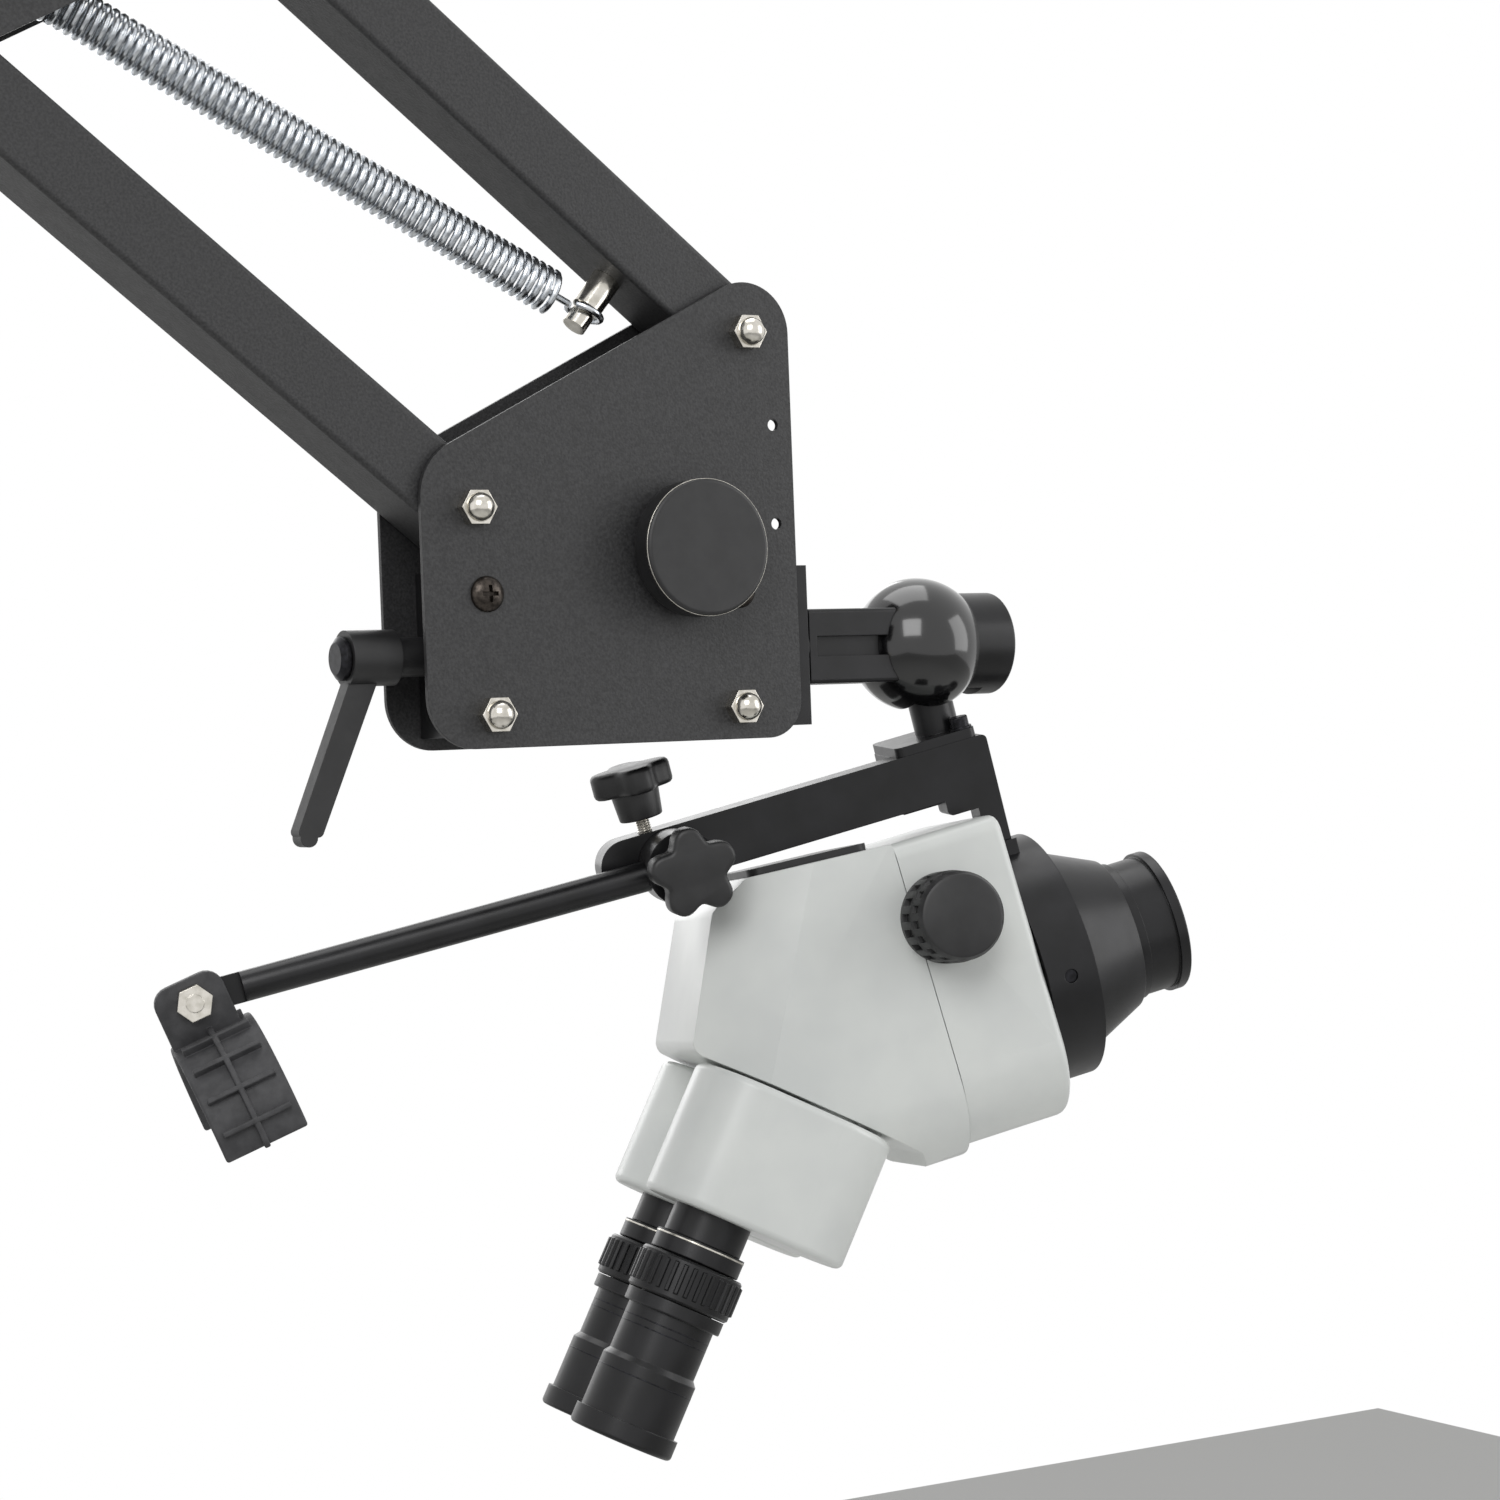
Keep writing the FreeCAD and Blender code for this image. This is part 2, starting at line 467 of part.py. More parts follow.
finish(cut("clamp_block", block_body, block_bore, *bolt_holes, *screw_holes), "clamp_block", AT_HEAD)

# Tension knob on the near plate, its stud through both plates and its nut on the far side
TENSION = vector("tension_right", "0 - plate_gap / 2 - plate_sheet", "0 - tension_drop")
knob_turn = FreeCAD.Rotation(FreeCAD.Vector(1, 0, 0), 90)
top = "tension_stand + tension_thickness"
knob = turned("tension_knob_body", (("0", "0.3"), ("tension_neck", "0.3"), ("tension_neck", "tension_stand"),
                                    ("tension_radius", "tension_stand", "1.5"), ("tension_radius", top, "1.5"),
                                    ("0", top)))
stud = turned("tension_stud_body", (("0", "0.3"), ("tension_stud", "0.3"),
                                    ("tension_stud", "0 - plate_gap - 2 * plate_sheet - nut_height - 1.5"),
                                    ("0", "0 - plate_gap - 2 * plate_sheet - nut_height - 1.5")))
finish(joined("tension_knob_joined", knob, stud), "tension_knob", FreeCAD.Placement(HEAD + TENSION, knob_turn))
nut_body = hexagon("tension_nut_body", vector("tension_right", "plate_gap / 2 + plate_sheet", "0 - tension_drop"),
                   "nut_height")
nut_body.setExpression("Circumradius", tied("1.3 * nut_flats / sqrt(3)"))
nut_bore = cylinder("tension_nut_bore", "tension_stud + running_gap",
                    ("tension_right", "plate_gap / 2", "0 - tension_drop"), "20", "Y")
finish(cut("tension_nut_cut", nut_body, nut_bore), "tension_nut", AT_HEAD)

# Swivelling spindle, grooved bar and the lever that locks them
spindle_shaft = cylinder("spindle_shaft", "spindle_radius", ("0 - block_left + 1", "0", "0 - bar_drop"),
                         "block_left + block_right - 1", "X")
spindle_flange = cylinder("spindle_flange", "bar_side / 2", ("block_right", "0", "0 - bar_drop"), "flange_thickness", "X")
spindle_bore = cylinder("spindle_bore", "lever_screw + running_gap", ("0 - block_left", "0", "0 - bar_drop"), "22", "X")
finish(cut("bar_spindle_cut", joined("bar_spindle_blank", spindle_shaft, spindle_flange), spindle_bore),
       "bar_spindle", AT_HEAD)


def along_bar(name, start, length, low, high, side):
    """A box along the bar between two offsets, on one of its four sides."""
    low_y, high_y = low
    low_z, high_z = high
    piece = box(name, (start, low_y, low_z), (length, f"{high_y} - ({low_y})", f"{high_z} - ({low_z})"))
    turn = FreeCAD.Rotation(FreeCAD.Vector(1, 0, 0), 90 * side)
    piece.Placement = FreeCAD.Placement(vector("0", "0", "0 - bar_drop"), turn).multiply(piece.Placement)
    return piece


bar_length = "ball_right - block_right - flange_thickness"
bar_start = "block_right + flange_thickness"
bar_blank = along_bar("bar_blank", bar_start, bar_length, ("0 - bar_side / 2", "bar_side / 2"),
                      ("0 - bar_side / 2", "bar_side / 2"), 0)
bar_rounded = rounded_edges("bar_rounded", bar_blank, "1.5",
                            lambda spot, edge: abs(edge.tangentAt(edge.FirstParameter).x) > 0.9)
grooves = [along_bar(f"bar_groove_{side}", f"{bar_start} + 3", bar_length, ("0 - bar_groove / 2", "bar_groove / 2"),
                     ("bar_side / 2 - bar_groove_depth", "bar_side / 2 + 1"), side) for side in range(4)]
ball_space = primitive("Sphere", "bar_ball_space", vector("ball_right", "0", "0 - bar_drop"), None, Radius="ball_radius")
finish(cut("grooved_bar_cut", bar_rounded, ball_space, *grooves), "grooved_bar", AT_HEAD)

lever_sleeve = cylinder("lever_sleeve", "sleeve_radius", ("0 - block_left - 0.3 - sleeve_length", "0", "0 - bar_drop"),
                        "sleeve_length", "X")
hub_end = "0 - block_left - 0.3 - sleeve_length - hub_length"
lever_hub = cylinder("lever_hub", "hub_radius", (hub_end, "0", "0 - bar_drop"), "hub_length + 1", "X")
tip_left = f"{hub_end} - lever_reach * sin(lever_lean * 1 deg)"
blade = sheet_cut("lever_blade", ((f"{hub_end} + 2", "0 - bar_drop - 3"), (f"{hub_end} + 12", "0 - bar_drop - 3"),
                                  (f"{tip_left} + 8", "0 - bar_drop - lever_reach", "2"),
                                  (f"{tip_left} - 1", "0 - bar_drop - lever_reach", "2")), "7")
lever_foot = cylinder("lever_foot", "3", (f"{tip_left} + 3.5", "0 - 3.5", "0 - bar_drop - lever_reach"), "7", "Y")
lever_bore = cylinder("lever_bore", "lever_screw + running_gap", (f"{hub_end} - 1", "0", "0 - bar_drop"), "60", "X")
finish(cut("clamp_lever_cut", joined("clamp_lever_blank", lever_sleeve, lever_hub, blade, lever_foot), lever_bore),
       "clamp_lever", AT_HEAD)
screw_shaft = cylinder("lever_screw_shaft", "lever_screw", (f"{hub_end} - 0.3", "0", "0 - bar_drop"),
                       "hub_length + sleeve_length + 20", "X")
screw_cap = turned("lever_screw_cap", (("0", "0"), ("hub_radius - 2", "0"), ("hub_radius - 2", "1.5"),
                                       ("hub_radius - 4", "3"), ("0", "3")))
screw_cap.Placement = FreeCAD.Placement(vector(f"{hub_end} - 0.3", "0", "0 - bar_drop"),
                                        FreeCAD.Rotation(FreeCAD.Vector(0, 1, 0), -90))
finish(joined("lever_screw", screw_shaft, screw_cap), "clamp_lever_screw", AT_HEAD)

# Ball joint: housing, collar, friction pad, clamp nut, ball with trunnions, stem

SLOT_HALF = "stem_radius + slot_clearance"


def stem_slot(name):
    return box(name, ("0 - stem_radius + 1", f"0 - ({SLOT_HALF})", "0 - ball_radius - 1"),
               ("stem_radius - 1 + 22", f"2 * ({SLOT_HALF})", "ball_radius - 3"))


outer_ball = primitive("Sphere", "outer_ball", None, None, Radius="ball_radius")
ball_room = primitive("Sphere", "ball_room", None, None, Radius="inner_ball_radius + running_gap")
ball_entry = cylinder("ball_entry", "inner_ball_radius + running_gap", ("0", "0", "0"), "ball_radius + 1", "X")
ball_face = box("ball_face", ("collar_start", "0 - ball_radius", "0 - ball_radius"),
                ("ball_radius", "2 * ball_radius", "2 * ball_radius"))
pin_bore = cylinder("trunnion_bore", "trunnion_radius + running_gap", ("0", "0 - trunnion_reach - axial_gap", "0"),
                    "2 * (trunnion_reach + axial_gap)", "Y")
finish(cut("ball_housing_cut", outer_ball, ball_room, ball_entry, ball_face, pin_bore, stem_slot("housing_slot")),
       "ball_housing", AT_BALL)

collar_bore = "inner_ball_radius + running_gap"
collar = turned("collar_body", ((collar_bore, "collar_start"), ("collar_radius", "collar_start"),
                                ("collar_radius", "collar_end", "1"), ("clamp_screw_radius + 0.1", "collar_end"),
                                ("clamp_screw_radius + 0.1", "collar_end - 7"), (collar_bore, "collar_end - 7")))
collar.Placement = FreeCAD.Placement(FreeCAD.Vector(), AXES["X"])
finish(cut("collar_cut", collar, stem_slot("collar_slot")), "ball_collar", AT_BALL)
pad = cylinder("pad_body", "inner_ball_radius", ("pad_start", "0", "0"), "clamp_screw_start - pad_start", "X")
pad_seat = primitive("Sphere", "pad_seat", None, None, Radius="inner_ball_radius + running_gap")
finish(cut("friction_pad_cut", pad, pad_seat, stem_slot("pad_slot")), "friction_pad", AT_BALL)
nut_start = "collar_end + 0.3"
clamp_nut = turned("clamp_nut_body", (("0", "clamp_screw_start"), ("clamp_screw_radius", "clamp_screw_start"),
                                      ("clamp_screw_radius", nut_start), ("clamp_nut_radius", nut_start),
                                      ("clamp_nut_radius", "clamp_nut_end - 3", "1"),
                                      ("clamp_nut_radius - 2.4", "clamp_nut_end", "1.5"), ("0", "clamp_nut_end")))
finish(clamp_nut, "ball_clamp_nut", AT_BALL.multiply(FreeCAD.Placement(FreeCAD.Vector(), AXES["X"])))

ball_body = primitive("Sphere", "ball_body", None, None, Radius="inner_ball_radius")
journal_bore = cylinder("journal_bore", "stem_journal + running_gap", ("0", "0", "0 - 20"), "40")
retainer_space = cylinder("retainer_space", "7.2", ("0", "0", "7.75"), "10")
ball_flat = box("ball_flat", ("0 - 15", "0 - 15", "0 - 15"), ("30", "30", "3"))
PIN_START = "9"
pin_seats = [cylinder(f"pin_seat_{number}", "trunnion_radius", ("0", start, "0"), "6", "Y")
             for number, start in enumerate(("0 - 15", PIN_START))]
finish(cut("trunnion_ball_cut", ball_body, journal_bore, retainer_space, ball_flat, *pin_seats),
       "trunnion_ball", AT_TILT)
pin_length = f"trunnion_reach - {PIN_START}"
finish(group("trunnion_pin_pair",
             cylinder("trunnion_near", "trunnion_radius", ("0", "0 - trunnion_reach", "0"), pin_length, "Y"),
             cylinder("trunnion_far", "trunnion_radius", ("0", PIN_START, "0"), pin_length, "Y")),
       "trunnion_pins", AT_TILT)
stem_shaft = turned("stem_body", (("0", "0 - stem_bottom"), ("stem_radius", "0 - stem_bottom"), ("stem_radius", "0 - 12.3"),
                            ("stem_journal", "0 - 12.3"), ("stem_journal", "8.05"), ("2.05", "8.05"),
                            ("2.05", "0 - 4"), ("0", "0 - 4")))
finish(turned("stem_retainer_body", (("0", "0 - 3.5"), ("2", "0 - 3.5"), ("2", "8.05"), ("6.5", "8.05"),
                                     ("6.5", "11.5", "0.8"), ("0", "11.5"))), "stem_retainer", AT_STEM)

# Carrier: foot plate, L-shaped plate, spacer block and mounting ring

plate_top = "0 - stem_bottom - foot_thickness"
foot_body = box("foot_body", ("0 - flange_left", "0 - flange_side", plate_top),
                ("flange_left + flange_right", "2 * flange_side", "foot_thickness"))
foot_rounded = rounded_edges("foot_rounded", foot_body, "3",
                             lambda spot, edge: abs(edge.tangentAt(edge.FirstParameter).z) > 0.9)
foot_screw = cylinder("foot_screw_hole", "2.2", ("foot_screw_right", "0 - foot_screw_near", "0 - 60"), "60")
finish(joined("stem_joined", stem_shaft, cut("stem_foot_cut", foot_rounded, foot_screw)), "stem", AT_STEM)
bar_low = f"{plate_top} - carrier_bar_height"
middle_v = "0 - (carrier_near - carrier_sheet / 2)"
carrier_body = sheet_cut("carrier_body", (("0 - carrier_reach", plate_top, "9.5"), ("leg_right", plate_top, "2"),
                                          ("leg_right", "0 - leg_bottom"), ("3.4", "0 - leg_bottom"),
                                          ("3.4", "0 - saddle_bottom"), ("0 - leg_left", "0 - saddle_bottom", "2"),
                                          ("0 - leg_left", bar_low), ("0 - carrier_reach", bar_low, "9.5")),
                         "carrier_sheet")
carrier_body.Placement = FreeCAD.Placement(vector("0", middle_v), FreeCAD.Rotation())
clamp_pivot_bore = cylinder("clamp_pivot_bore", "3.5 + running_gap", ("0 - clamp_along", "0 - 20", "0 - clamp_down"),
                            "20", "Y")
tee_bore = cylinder("tee_bore", "tee_stud + running_gap", ("0 - tee_along", middle_v, "0 - 43"), "10")
foot_thread = cylinder("foot_thread", "2", ("foot_screw_right", "0 - foot_screw_near", f"{plate_top} - 8"), "10")
finish(cut("carrier_plate_cut", carrier_body, clamp_pivot_bore, tee_bore, foot_thread), "carrier_plate", AT_STEM)
spacer_body = box("spacer_body", ("0 - flange_left", "carrier_sheet - carrier_near", "0 - spacer_bottom"),
                  ("flange_left + flange_right", "carrier_near + flange_side - carrier_sheet",
                   "spacer_bottom - stem_bottom - foot_thickness"))
finish(rounded_edges("spacer_rounded", spacer_body, "2", lambda spot, edge: spot.y > value("flange_side") - 0.1),
       "carrier_spacer", AT_STEM)
foot_screw_body = turned("foot_screw_body", (("0", "0 - 11"), ("1.95", "0 - 11"), ("1.95", "0"),
                                             ("foot_washer_radius", "0"), ("foot_washer_radius", "0.8"),
                                             ("cap_screw_radius", "0.8"),
                                             ("cap_screw_radius", "cap_screw_height", "0.5"),
                                             ("0", "cap_screw_height")))
foot_screw_body.Placement = FreeCAD.Placement(vector("foot_screw_right", "0 - foot_screw_near", "0 - stem_bottom"),
                                            FreeCAD.Rotation())
ring_outer = cylinder("ring_outer", "ring_radius", ("ring_start", "0", "0 - axis_drop"), "ring_end - ring_start", "X")
ring_boss = box("ring_boss", ("ring_start", "0 - boss_side", "0 - leg_bottom - 12"),
                ("leg_right - ring_start + 1.5", "2 * boss_side", "12"))
ring_hole = cylinder("ring_hole", "ring_bore", ("0", "0", "0 - axis_drop"), "30", "X")
grub_hole = cylinder("grub_hole", "grub_radius", ("12", "0 - ring_radius - 1", "0 - axis_drop"), "10", "Y")
finish(cut("mounting_ring_cut", joined("mounting_ring_blank", ring_outer, ring_boss), ring_hole, grub_hole),
       "mounting_ring", AT_STEM)
grub_body = cylinder("grub_body", "grub_radius - 0.05", ("12", "0 - ring_radius + 0.8", "0 - axis_drop"),
                     "ring_radius - ring_bore - 1.1", "Y")
finish(group("carrier_screw_set", foot_screw_body, grub_body), "carrier_screws", AT_STEM)

# Rod clamp, T-knob, star knob, brow rod

AT_CLAMP = shifted(AT_STEM, "0 - clamp_along", "0", "0 - clamp_down",
                   FreeCAD.Rotation(FreeCAD.Vector(0, 1, 0), value("rod_lift")))
clamp_front = "0 - carrier_near - 0.5 - clamp_depth"
clamp_body = cylinder("rod_clamp_body", "clamp_radius", ("0", clamp_front, "0"), "clamp_depth", "Y")
clamp_boss = cylinder("rod_clamp_boss", "9", ("0", f"{clamp_front} - 3.5", "0"), "4", "Y")
clamp_journal = cylinder("rod_clamp_journal", "3.5", ("0", "0 - carrier_near - 1", "0"), "carrier_sheet + 1.3", "Y")
rod_line = "0 - carrier_near - 0.5 - clamp_depth / 2"
rod_bore = cylinder("rod_bore", "rod_radius + running_gap", ("0 - 20", rod_line, "0"), "40", "X")
star_bore = cylinder("star_bore", "3 + running_gap", ("0", f"{clamp_front} - 5", "0"), "clamp_depth / 2 + 5", "Y")
pivot_thread = cylinder("pivot_thread", "1.6", ("0", "0 - carrier_near + 1", "0"), "20", "Y")
finish(cut("rod_clamp_cut", joined("rod_clamp_blank", clamp_body, clamp_boss, clamp_journal), rod_bore, star_bore,
           pivot_thread), "rod_clamp", AT_CLAMP)
pivot_screw = turned("pivot_screw_body", (("0", "0 - 8"), ("1.55", "0 - 8"), ("1.55", "0"), ("5.5", "0"),
                                          ("5.5", "2.2", "0.6"), ("0", "2.2")))
finish(pivot_screw, "rod_clamp_pivot_screw",
       shifted(AT_CLAMP, "0", "0 - carrier_near + carrier_sheet + 0.3", "0", AXES["Y"]))


def lobed(name, lobes, hub, lobe, reach, start, height):
    """A round of lobes about a hub, standing on Z."""
    discs = [cylinder(f"{name}_hub", hub, ("0", "0", start), height)]
    for number in range(lobes):
        angle = math.radians(360 * number / lobes + 90)
        disc = tie(doc.addObject("Part::Cylinder", f"{name}_lobe_{number}"), Radius=lobe, Height=height)
        disc.Placement = FreeCAD.Placement(FreeCAD.Vector(math.cos(angle), math.sin(angle), 0) * value(reach)
                                           + vector("0", "0", start), FreeCAD.Rotation())
        discs.append(disc)
    return discs


star = lobed("star", 5, "star_radius - 4.5", "4.4", "star_radius - 4.4", "0.6", "star_thickness")
star_stud = cylinder("star_stud", "3", ("0", "0", "0 - clamp_depth / 2 - 3.5 + rod_radius + 0.5"),
                     "clamp_depth / 2 + 3.5 - rod_radius + 1")
finish(joined("star_knob_body", *star, star_stud), "star_knob",
       shifted(AT_CLAMP, "0", f"{clamp_front} - 3.5", "0", FreeCAD.Rotation(FreeCAD.Vector(1, 0, 0), 90)))
tee = lobed("tee", 4, "tee_radius - 4", "4.8", "tee_radius - 4.8", "tee_stand", "tee_height - 4")
tee_neck = turned("tee_neck_body", (("0", "9"), ("4.6", "9"), ("tee_neck", "tee_stand"), ("0", "tee_stand")))
tee_stud = cylinder("tee_stud_body", "tee_stud", ("0", "0", "0 - 7"), "tee_stand + 7")
finish(joined("tee_knob_body", *tee, tee_neck, tee_stud), "tee_knob",
       shifted(AT_STEM, "0 - tee_along", middle_v, plate_top))
AT_ROD = shifted(AT_CLAMP, "clamp_along", rod_line)
rod_body = cylinder("rod_body", "rod_radius", ("0 - brow_along - 4", "0", "0"), "brow_along + 4 - rod_right", "X")
rod_flat = box("rod_flat", ("0 - brow_along - 10", "0 - 10", "0 - 10"), ("10 + rod_flat_length", "9.5", "20"))
rod_eye = cylinder("rod_eye", "brow_bolt + running_gap", ("0 - brow_along", "0 - 10", "0"), "20", "Y")
finish(cut("brow_rod_cut", rod_body, rod_flat, rod_eye), "brow_rod", AT_ROD)

# Brow rest: ribbed arch on a tab, hinged at the rod's end

AT_BROW = shifted(AT_ROD, "0 - brow_along", "0", "0",
                  FreeCAD.Rotation(FreeCAD.Vector(0, 1, 0), -value("brow_tilt")))
tab_near = "0 - 0.8 - brow_tab"
arch_centre = "0 - brow_crown_drop - brow_radius"
arch_outer = cylinder("arch_outer", "brow_radius", ("0 - brow_left", "0", arch_centre), "brow_width", "X")
arch_inner = cylinder("arch_inner", "brow_radius - brow_wall", ("0 - brow_left - 1", "0", arch_centre),
                      "brow_width + 2", "X")
arch_floor = box("arch_floor", ("0 - 30", "0 - 40", "0 - brow_crown_drop - brow_leg_drop - 40"), ("60", "80", "40"))
rib_outer = cylinder("rib_outer", "brow_radius + 2.6", ("0", "0", arch_centre), "2.5", "X")
tab = sheet_cut("brow_tab_body", (("0 - tab_left", "tab_top", "6"), ("tab_right", "tab_top", "6"),
                                  ("tab_right", "0 - brow_crown_drop - 1.5"),
                                  ("0 - tab_left", "0 - brow_crown_drop - 1.5")), "brow_tab",
                (("0", "0", "brow_bolt + bolt_play"),))
tab.Placement = FreeCAD.Placement(vector("0", "0 - 0.8 - brow_tab / 2"), FreeCAD.Rotation())
gussets = []
for number, angle in enumerate((-60, -30, 0, 30, 60)):
    gusset = box(f"brow_gusset_{number}", ("0 - 11", "0 - 1.25", "brow_radius - 2"), ("24.5", "2.5", "4.2"))
    turn = FreeCAD.Placement(vector("0", "0", arch_centre), FreeCAD.Rotation(FreeCAD.Vector(1, 0, 0), angle))
    gusset.Placement = turn.multiply(gusset.Placement)
    gussets.append(gusset)
arch = joined("brow_arch", arch_outer, rib_outer, *gussets)
finish(joined("brow_rest_body", cut("brow_arch_cut", arch, arch_inner, arch_floor), tab), "brow_rest", AT_BROW)
bolt_body = cylinder("brow_bolt_body", "brow_bolt", ("0", f"{tab_near} - 4", "0"), "brow_tab + 4.8 + rod_radius + 1", "Y")
bolt_nut = hexagon("brow_bolt_nut", vector("0", f"{tab_near} - 3.8", "0"), "3.5")
bolt_head = cylinder("brow_bolt_head", "4.6", ("0", "rod_radius + 0.3", "0"), "3", "Y")
finish(joined("brow_bolt_joined", bolt_body, bolt_nut, bolt_head), "brow_rest_bolt", AT_BROW)

# Microscope body: front shell with nose, main shell, back cover

half = "scope_half_width"
wall = "shell_wall"


def rounded_block(name, side, low, high, start, end, low_round, high_round):
    body = sheet_cut(name, ((f"0 - ({side})", low, low_round), (side, low, low_round), (side, high, high_round),
                            (f"0 - ({side})", high, high_round)), f"{end} - ({start})", (), "YZ_Plane")
    body.Placement = FreeCAD.Placement(vector(f"({end} + {start}) / 2"), FreeCAD.Rotation())
    return body


front_block = rounded_block("front_block", half, "0 - scope_bottom", "scope_top", "0 - seam_along",
                            "shell_end", "shell_round", "6")
front_room = rounded_block("front_room", f"{half} - {wall}", f"{wall} - scope_bottom", f"scope_top - {wall}",
                           "0 - seam_along - 1", "0", f"shell_round - {wall}", "3")
nose = cylinder("nose_body", "nose_radius", ("0", "0", "0"), "nose_end", "X")
nose_path = cylinder("nose_path", "28", ("0 - 1", "0", "0"), "20", "X")
nose_cell = cylinder("nose_cell", "30", ("8", "0", "0"), "20", "X")
shaft_bore = cylinder("shaft_bore", "zoom_shaft_radius + running_gap", ("0 - knob_along", "0 - 60", "knob_up"), "120", "Y")
rod_seats = [cylinder(f"rod_seat_{number}", "3", ("0 - 1", across, "0"), "2.6", "X")
             for number, across in enumerate(("0 - 34", "34"))]
finish(cut("front_shell_cut", joined("front_shell_blank", front_block, nose), front_room, nose_path, nose_cell,
           shaft_bore, *rod_seats), "front_shell", AT_SCOPE)

TUBE_AXIS = TUBE_TURN.multVec(FreeCAD.Vector(0, 0, 1))
TUBE_UP = TUBE_TURN.multVec(FreeCAD.Vector(1, 0, 0))


def on_slope(along, depth):
    """A place of the slanting face, as two expressions."""
    spot = TUBE_AXIS * value(depth) + TUBE_UP * value(along)
    return str(spot.x), str(spot.z)


slope = "prism_start - 1.5"
low_slope = on_slope("10", slope)
high_slope = on_slope("98.5", slope)
main_points = (("0 - seam_along - 0.3", "scope_top", "1"), ("0 - 88", "scope_top + 3", "4"), ("0 - 102", "51", "6"),
               (*high_slope, "5"), (*low_slope, "3"), ("0 - 52", "0 - scope_bottom - main_step", "2"),
               ("0 - seam_along - 0.3", "0 - scope_bottom - main_step", "2"))
main_block = sheet_cut("main_block", main_points, f"2 * {half}")
room_low = on_slope("14", f"{slope} - {wall}")
room_high = on_slope("94", f"{slope} - {wall}")
room_points = (("0 - seam_along + 1", f"scope_top - {wall}"), ("0 - 87", "scope_top"), ("0 - 99.5", "49"),
               room_high, room_low, ("0 - 50.5", "0 - scope_bottom"), ("0 - seam_along + 1", "0 - scope_bottom"))
main_room = sheet_cut("main_room", room_points, f"2 * ({half} - {wall})")
RIDGE = FreeCAD.Rotation(FreeCAD.Vector(0, 1, 0), 208)


def flank(name, sense, inward):
    """A long wedge that bevels one side, from the ridge to the slanting back edge."""
    points = (("0", f"{sense} * ({half} - {inward})"), ("60", f"{sense} * ({half} - {inward} - 30)"),
              ("60", f"{sense} * ({half} + 40)"), ("0", f"{sense} * ({half} + 40)"))
    wedge = sheet_cut(name, points, "220", (), "XY_Plane")
    wedge.Placement = FreeCAD.Placement(vector("0 - 66", "0", "58"), RIDGE)
    return wedge


around_block = rounded_block("main_around", half, "0 - scope_bottom - main_step", "scope_top + 8",
                             "0 - 140", "0 - seam_along + 1", "shell_round", "2")
around_room = rounded_block("room_around", f"{half} - {wall}", f"{wall} - scope_bottom - main_step", "scope_top + 8",
                            "0 - 140", "0 - seam_along + 2", f"shell_round - {wall}", "2")
main_outside = cut("main_outside", common("main_rounded", main_block, around_block),
                   flank("flank_near", -1, "0"), flank("flank_far", 1, "0"))
main_inside = cut("main_inside", common("room_rounded", main_room, around_room),
                  flank("room_near", -1, wall), flank("room_far", 1, wall))
at_pivot = []
for face, sense in (("near", -1), ("far", 1)):
    bore = cylinder(f"pivot_bore_{face}", "turn_journal + running_gap", ("eye_pivot", f"{sense} * pupil_half", "0"), "90")
    bore.Placement = FreeCAD.Placement(FreeCAD.Vector(), TUBE_TURN).multiply(bore.Placement)
    at_pivot.append(bore)
finish(cut("main_shell_cut", main_outside, main_inside, *at_pivot), "main_shell", AT_SCOPE)
cover = box("cover_body", ("0 - 86", "0 - 32", "0"), ("44", "64", "cover_thickness"))
cover_rounded = rounded_edges("cover_rounded", cover, "5",
                              lambda spot, edge: abs(edge.tangentAt(edge.FirstParameter).z) > 0.9)
cover_turn = FreeCAD.Rotation(FreeCAD.Vector(0, 1, 0), math.degrees(math.atan2(3, 50.7)))
cover_spot = FreeCAD.Placement(vector("0 - seam_along - 0.3", "0", "scope_top"), cover_turn)
cover_back = FreeCAD.Placement(vector("seam_along + 0.3"), FreeCAD.Rotation())
finish(cover_rounded, "back_cover", AT_SCOPE.multiply(cover_spot).multiply(cover_back))

# Optics ahead of the nose

AT_AXIS = AT_SCOPE.multiply(FreeCAD.Placement(FreeCAD.Vector(), AXES["X"]))
finish(turned("cone_body", (("30", "nose_end"), ("cone_start_radius", "nose_end", "1"), ("cone_end_radius", "cone_end"),
                            ("25.5", "cone_end"), ("25.5", "cone_step"), ("lens_bore", "cone_step"),
                            ("lens_bore + 2", "cone_end"))), "objective_cone", AT_AXIS)
objective_glass = cylinder("objective_glass", "29.9", ("8", "0", "0"), "9", "X")
finish(turned("lens_barrel_body", (("lens_bore - 2", "cone_step"), ("lens_radius", "cone_step"),
                                   ("lens_radius", "lens_rim_start"), ("lens_rim_radius", "lens_rim_start"),
                                   ("lens_rim_radius", "lens_end", "0.8"), ("lens_bore", "lens_end"),
                                   ("lens_bore", "lens_rim_start - 1"), ("lens_bore - 2", "lens_rim_start - 1"))),
       "auxiliary_lens_barrel", AT_AXIS)
front_glass = cylinder("front_glass", "lens_bore - 0.1", ("lens_rim_start - 1", "0", "0"), "3", "X")
finish(group("objective_glasses", objective_glass, front_glass), "objective_lenses", AT_SCOPE)

# Zoom shaft, knobs, pinion, carriage and its guide rods

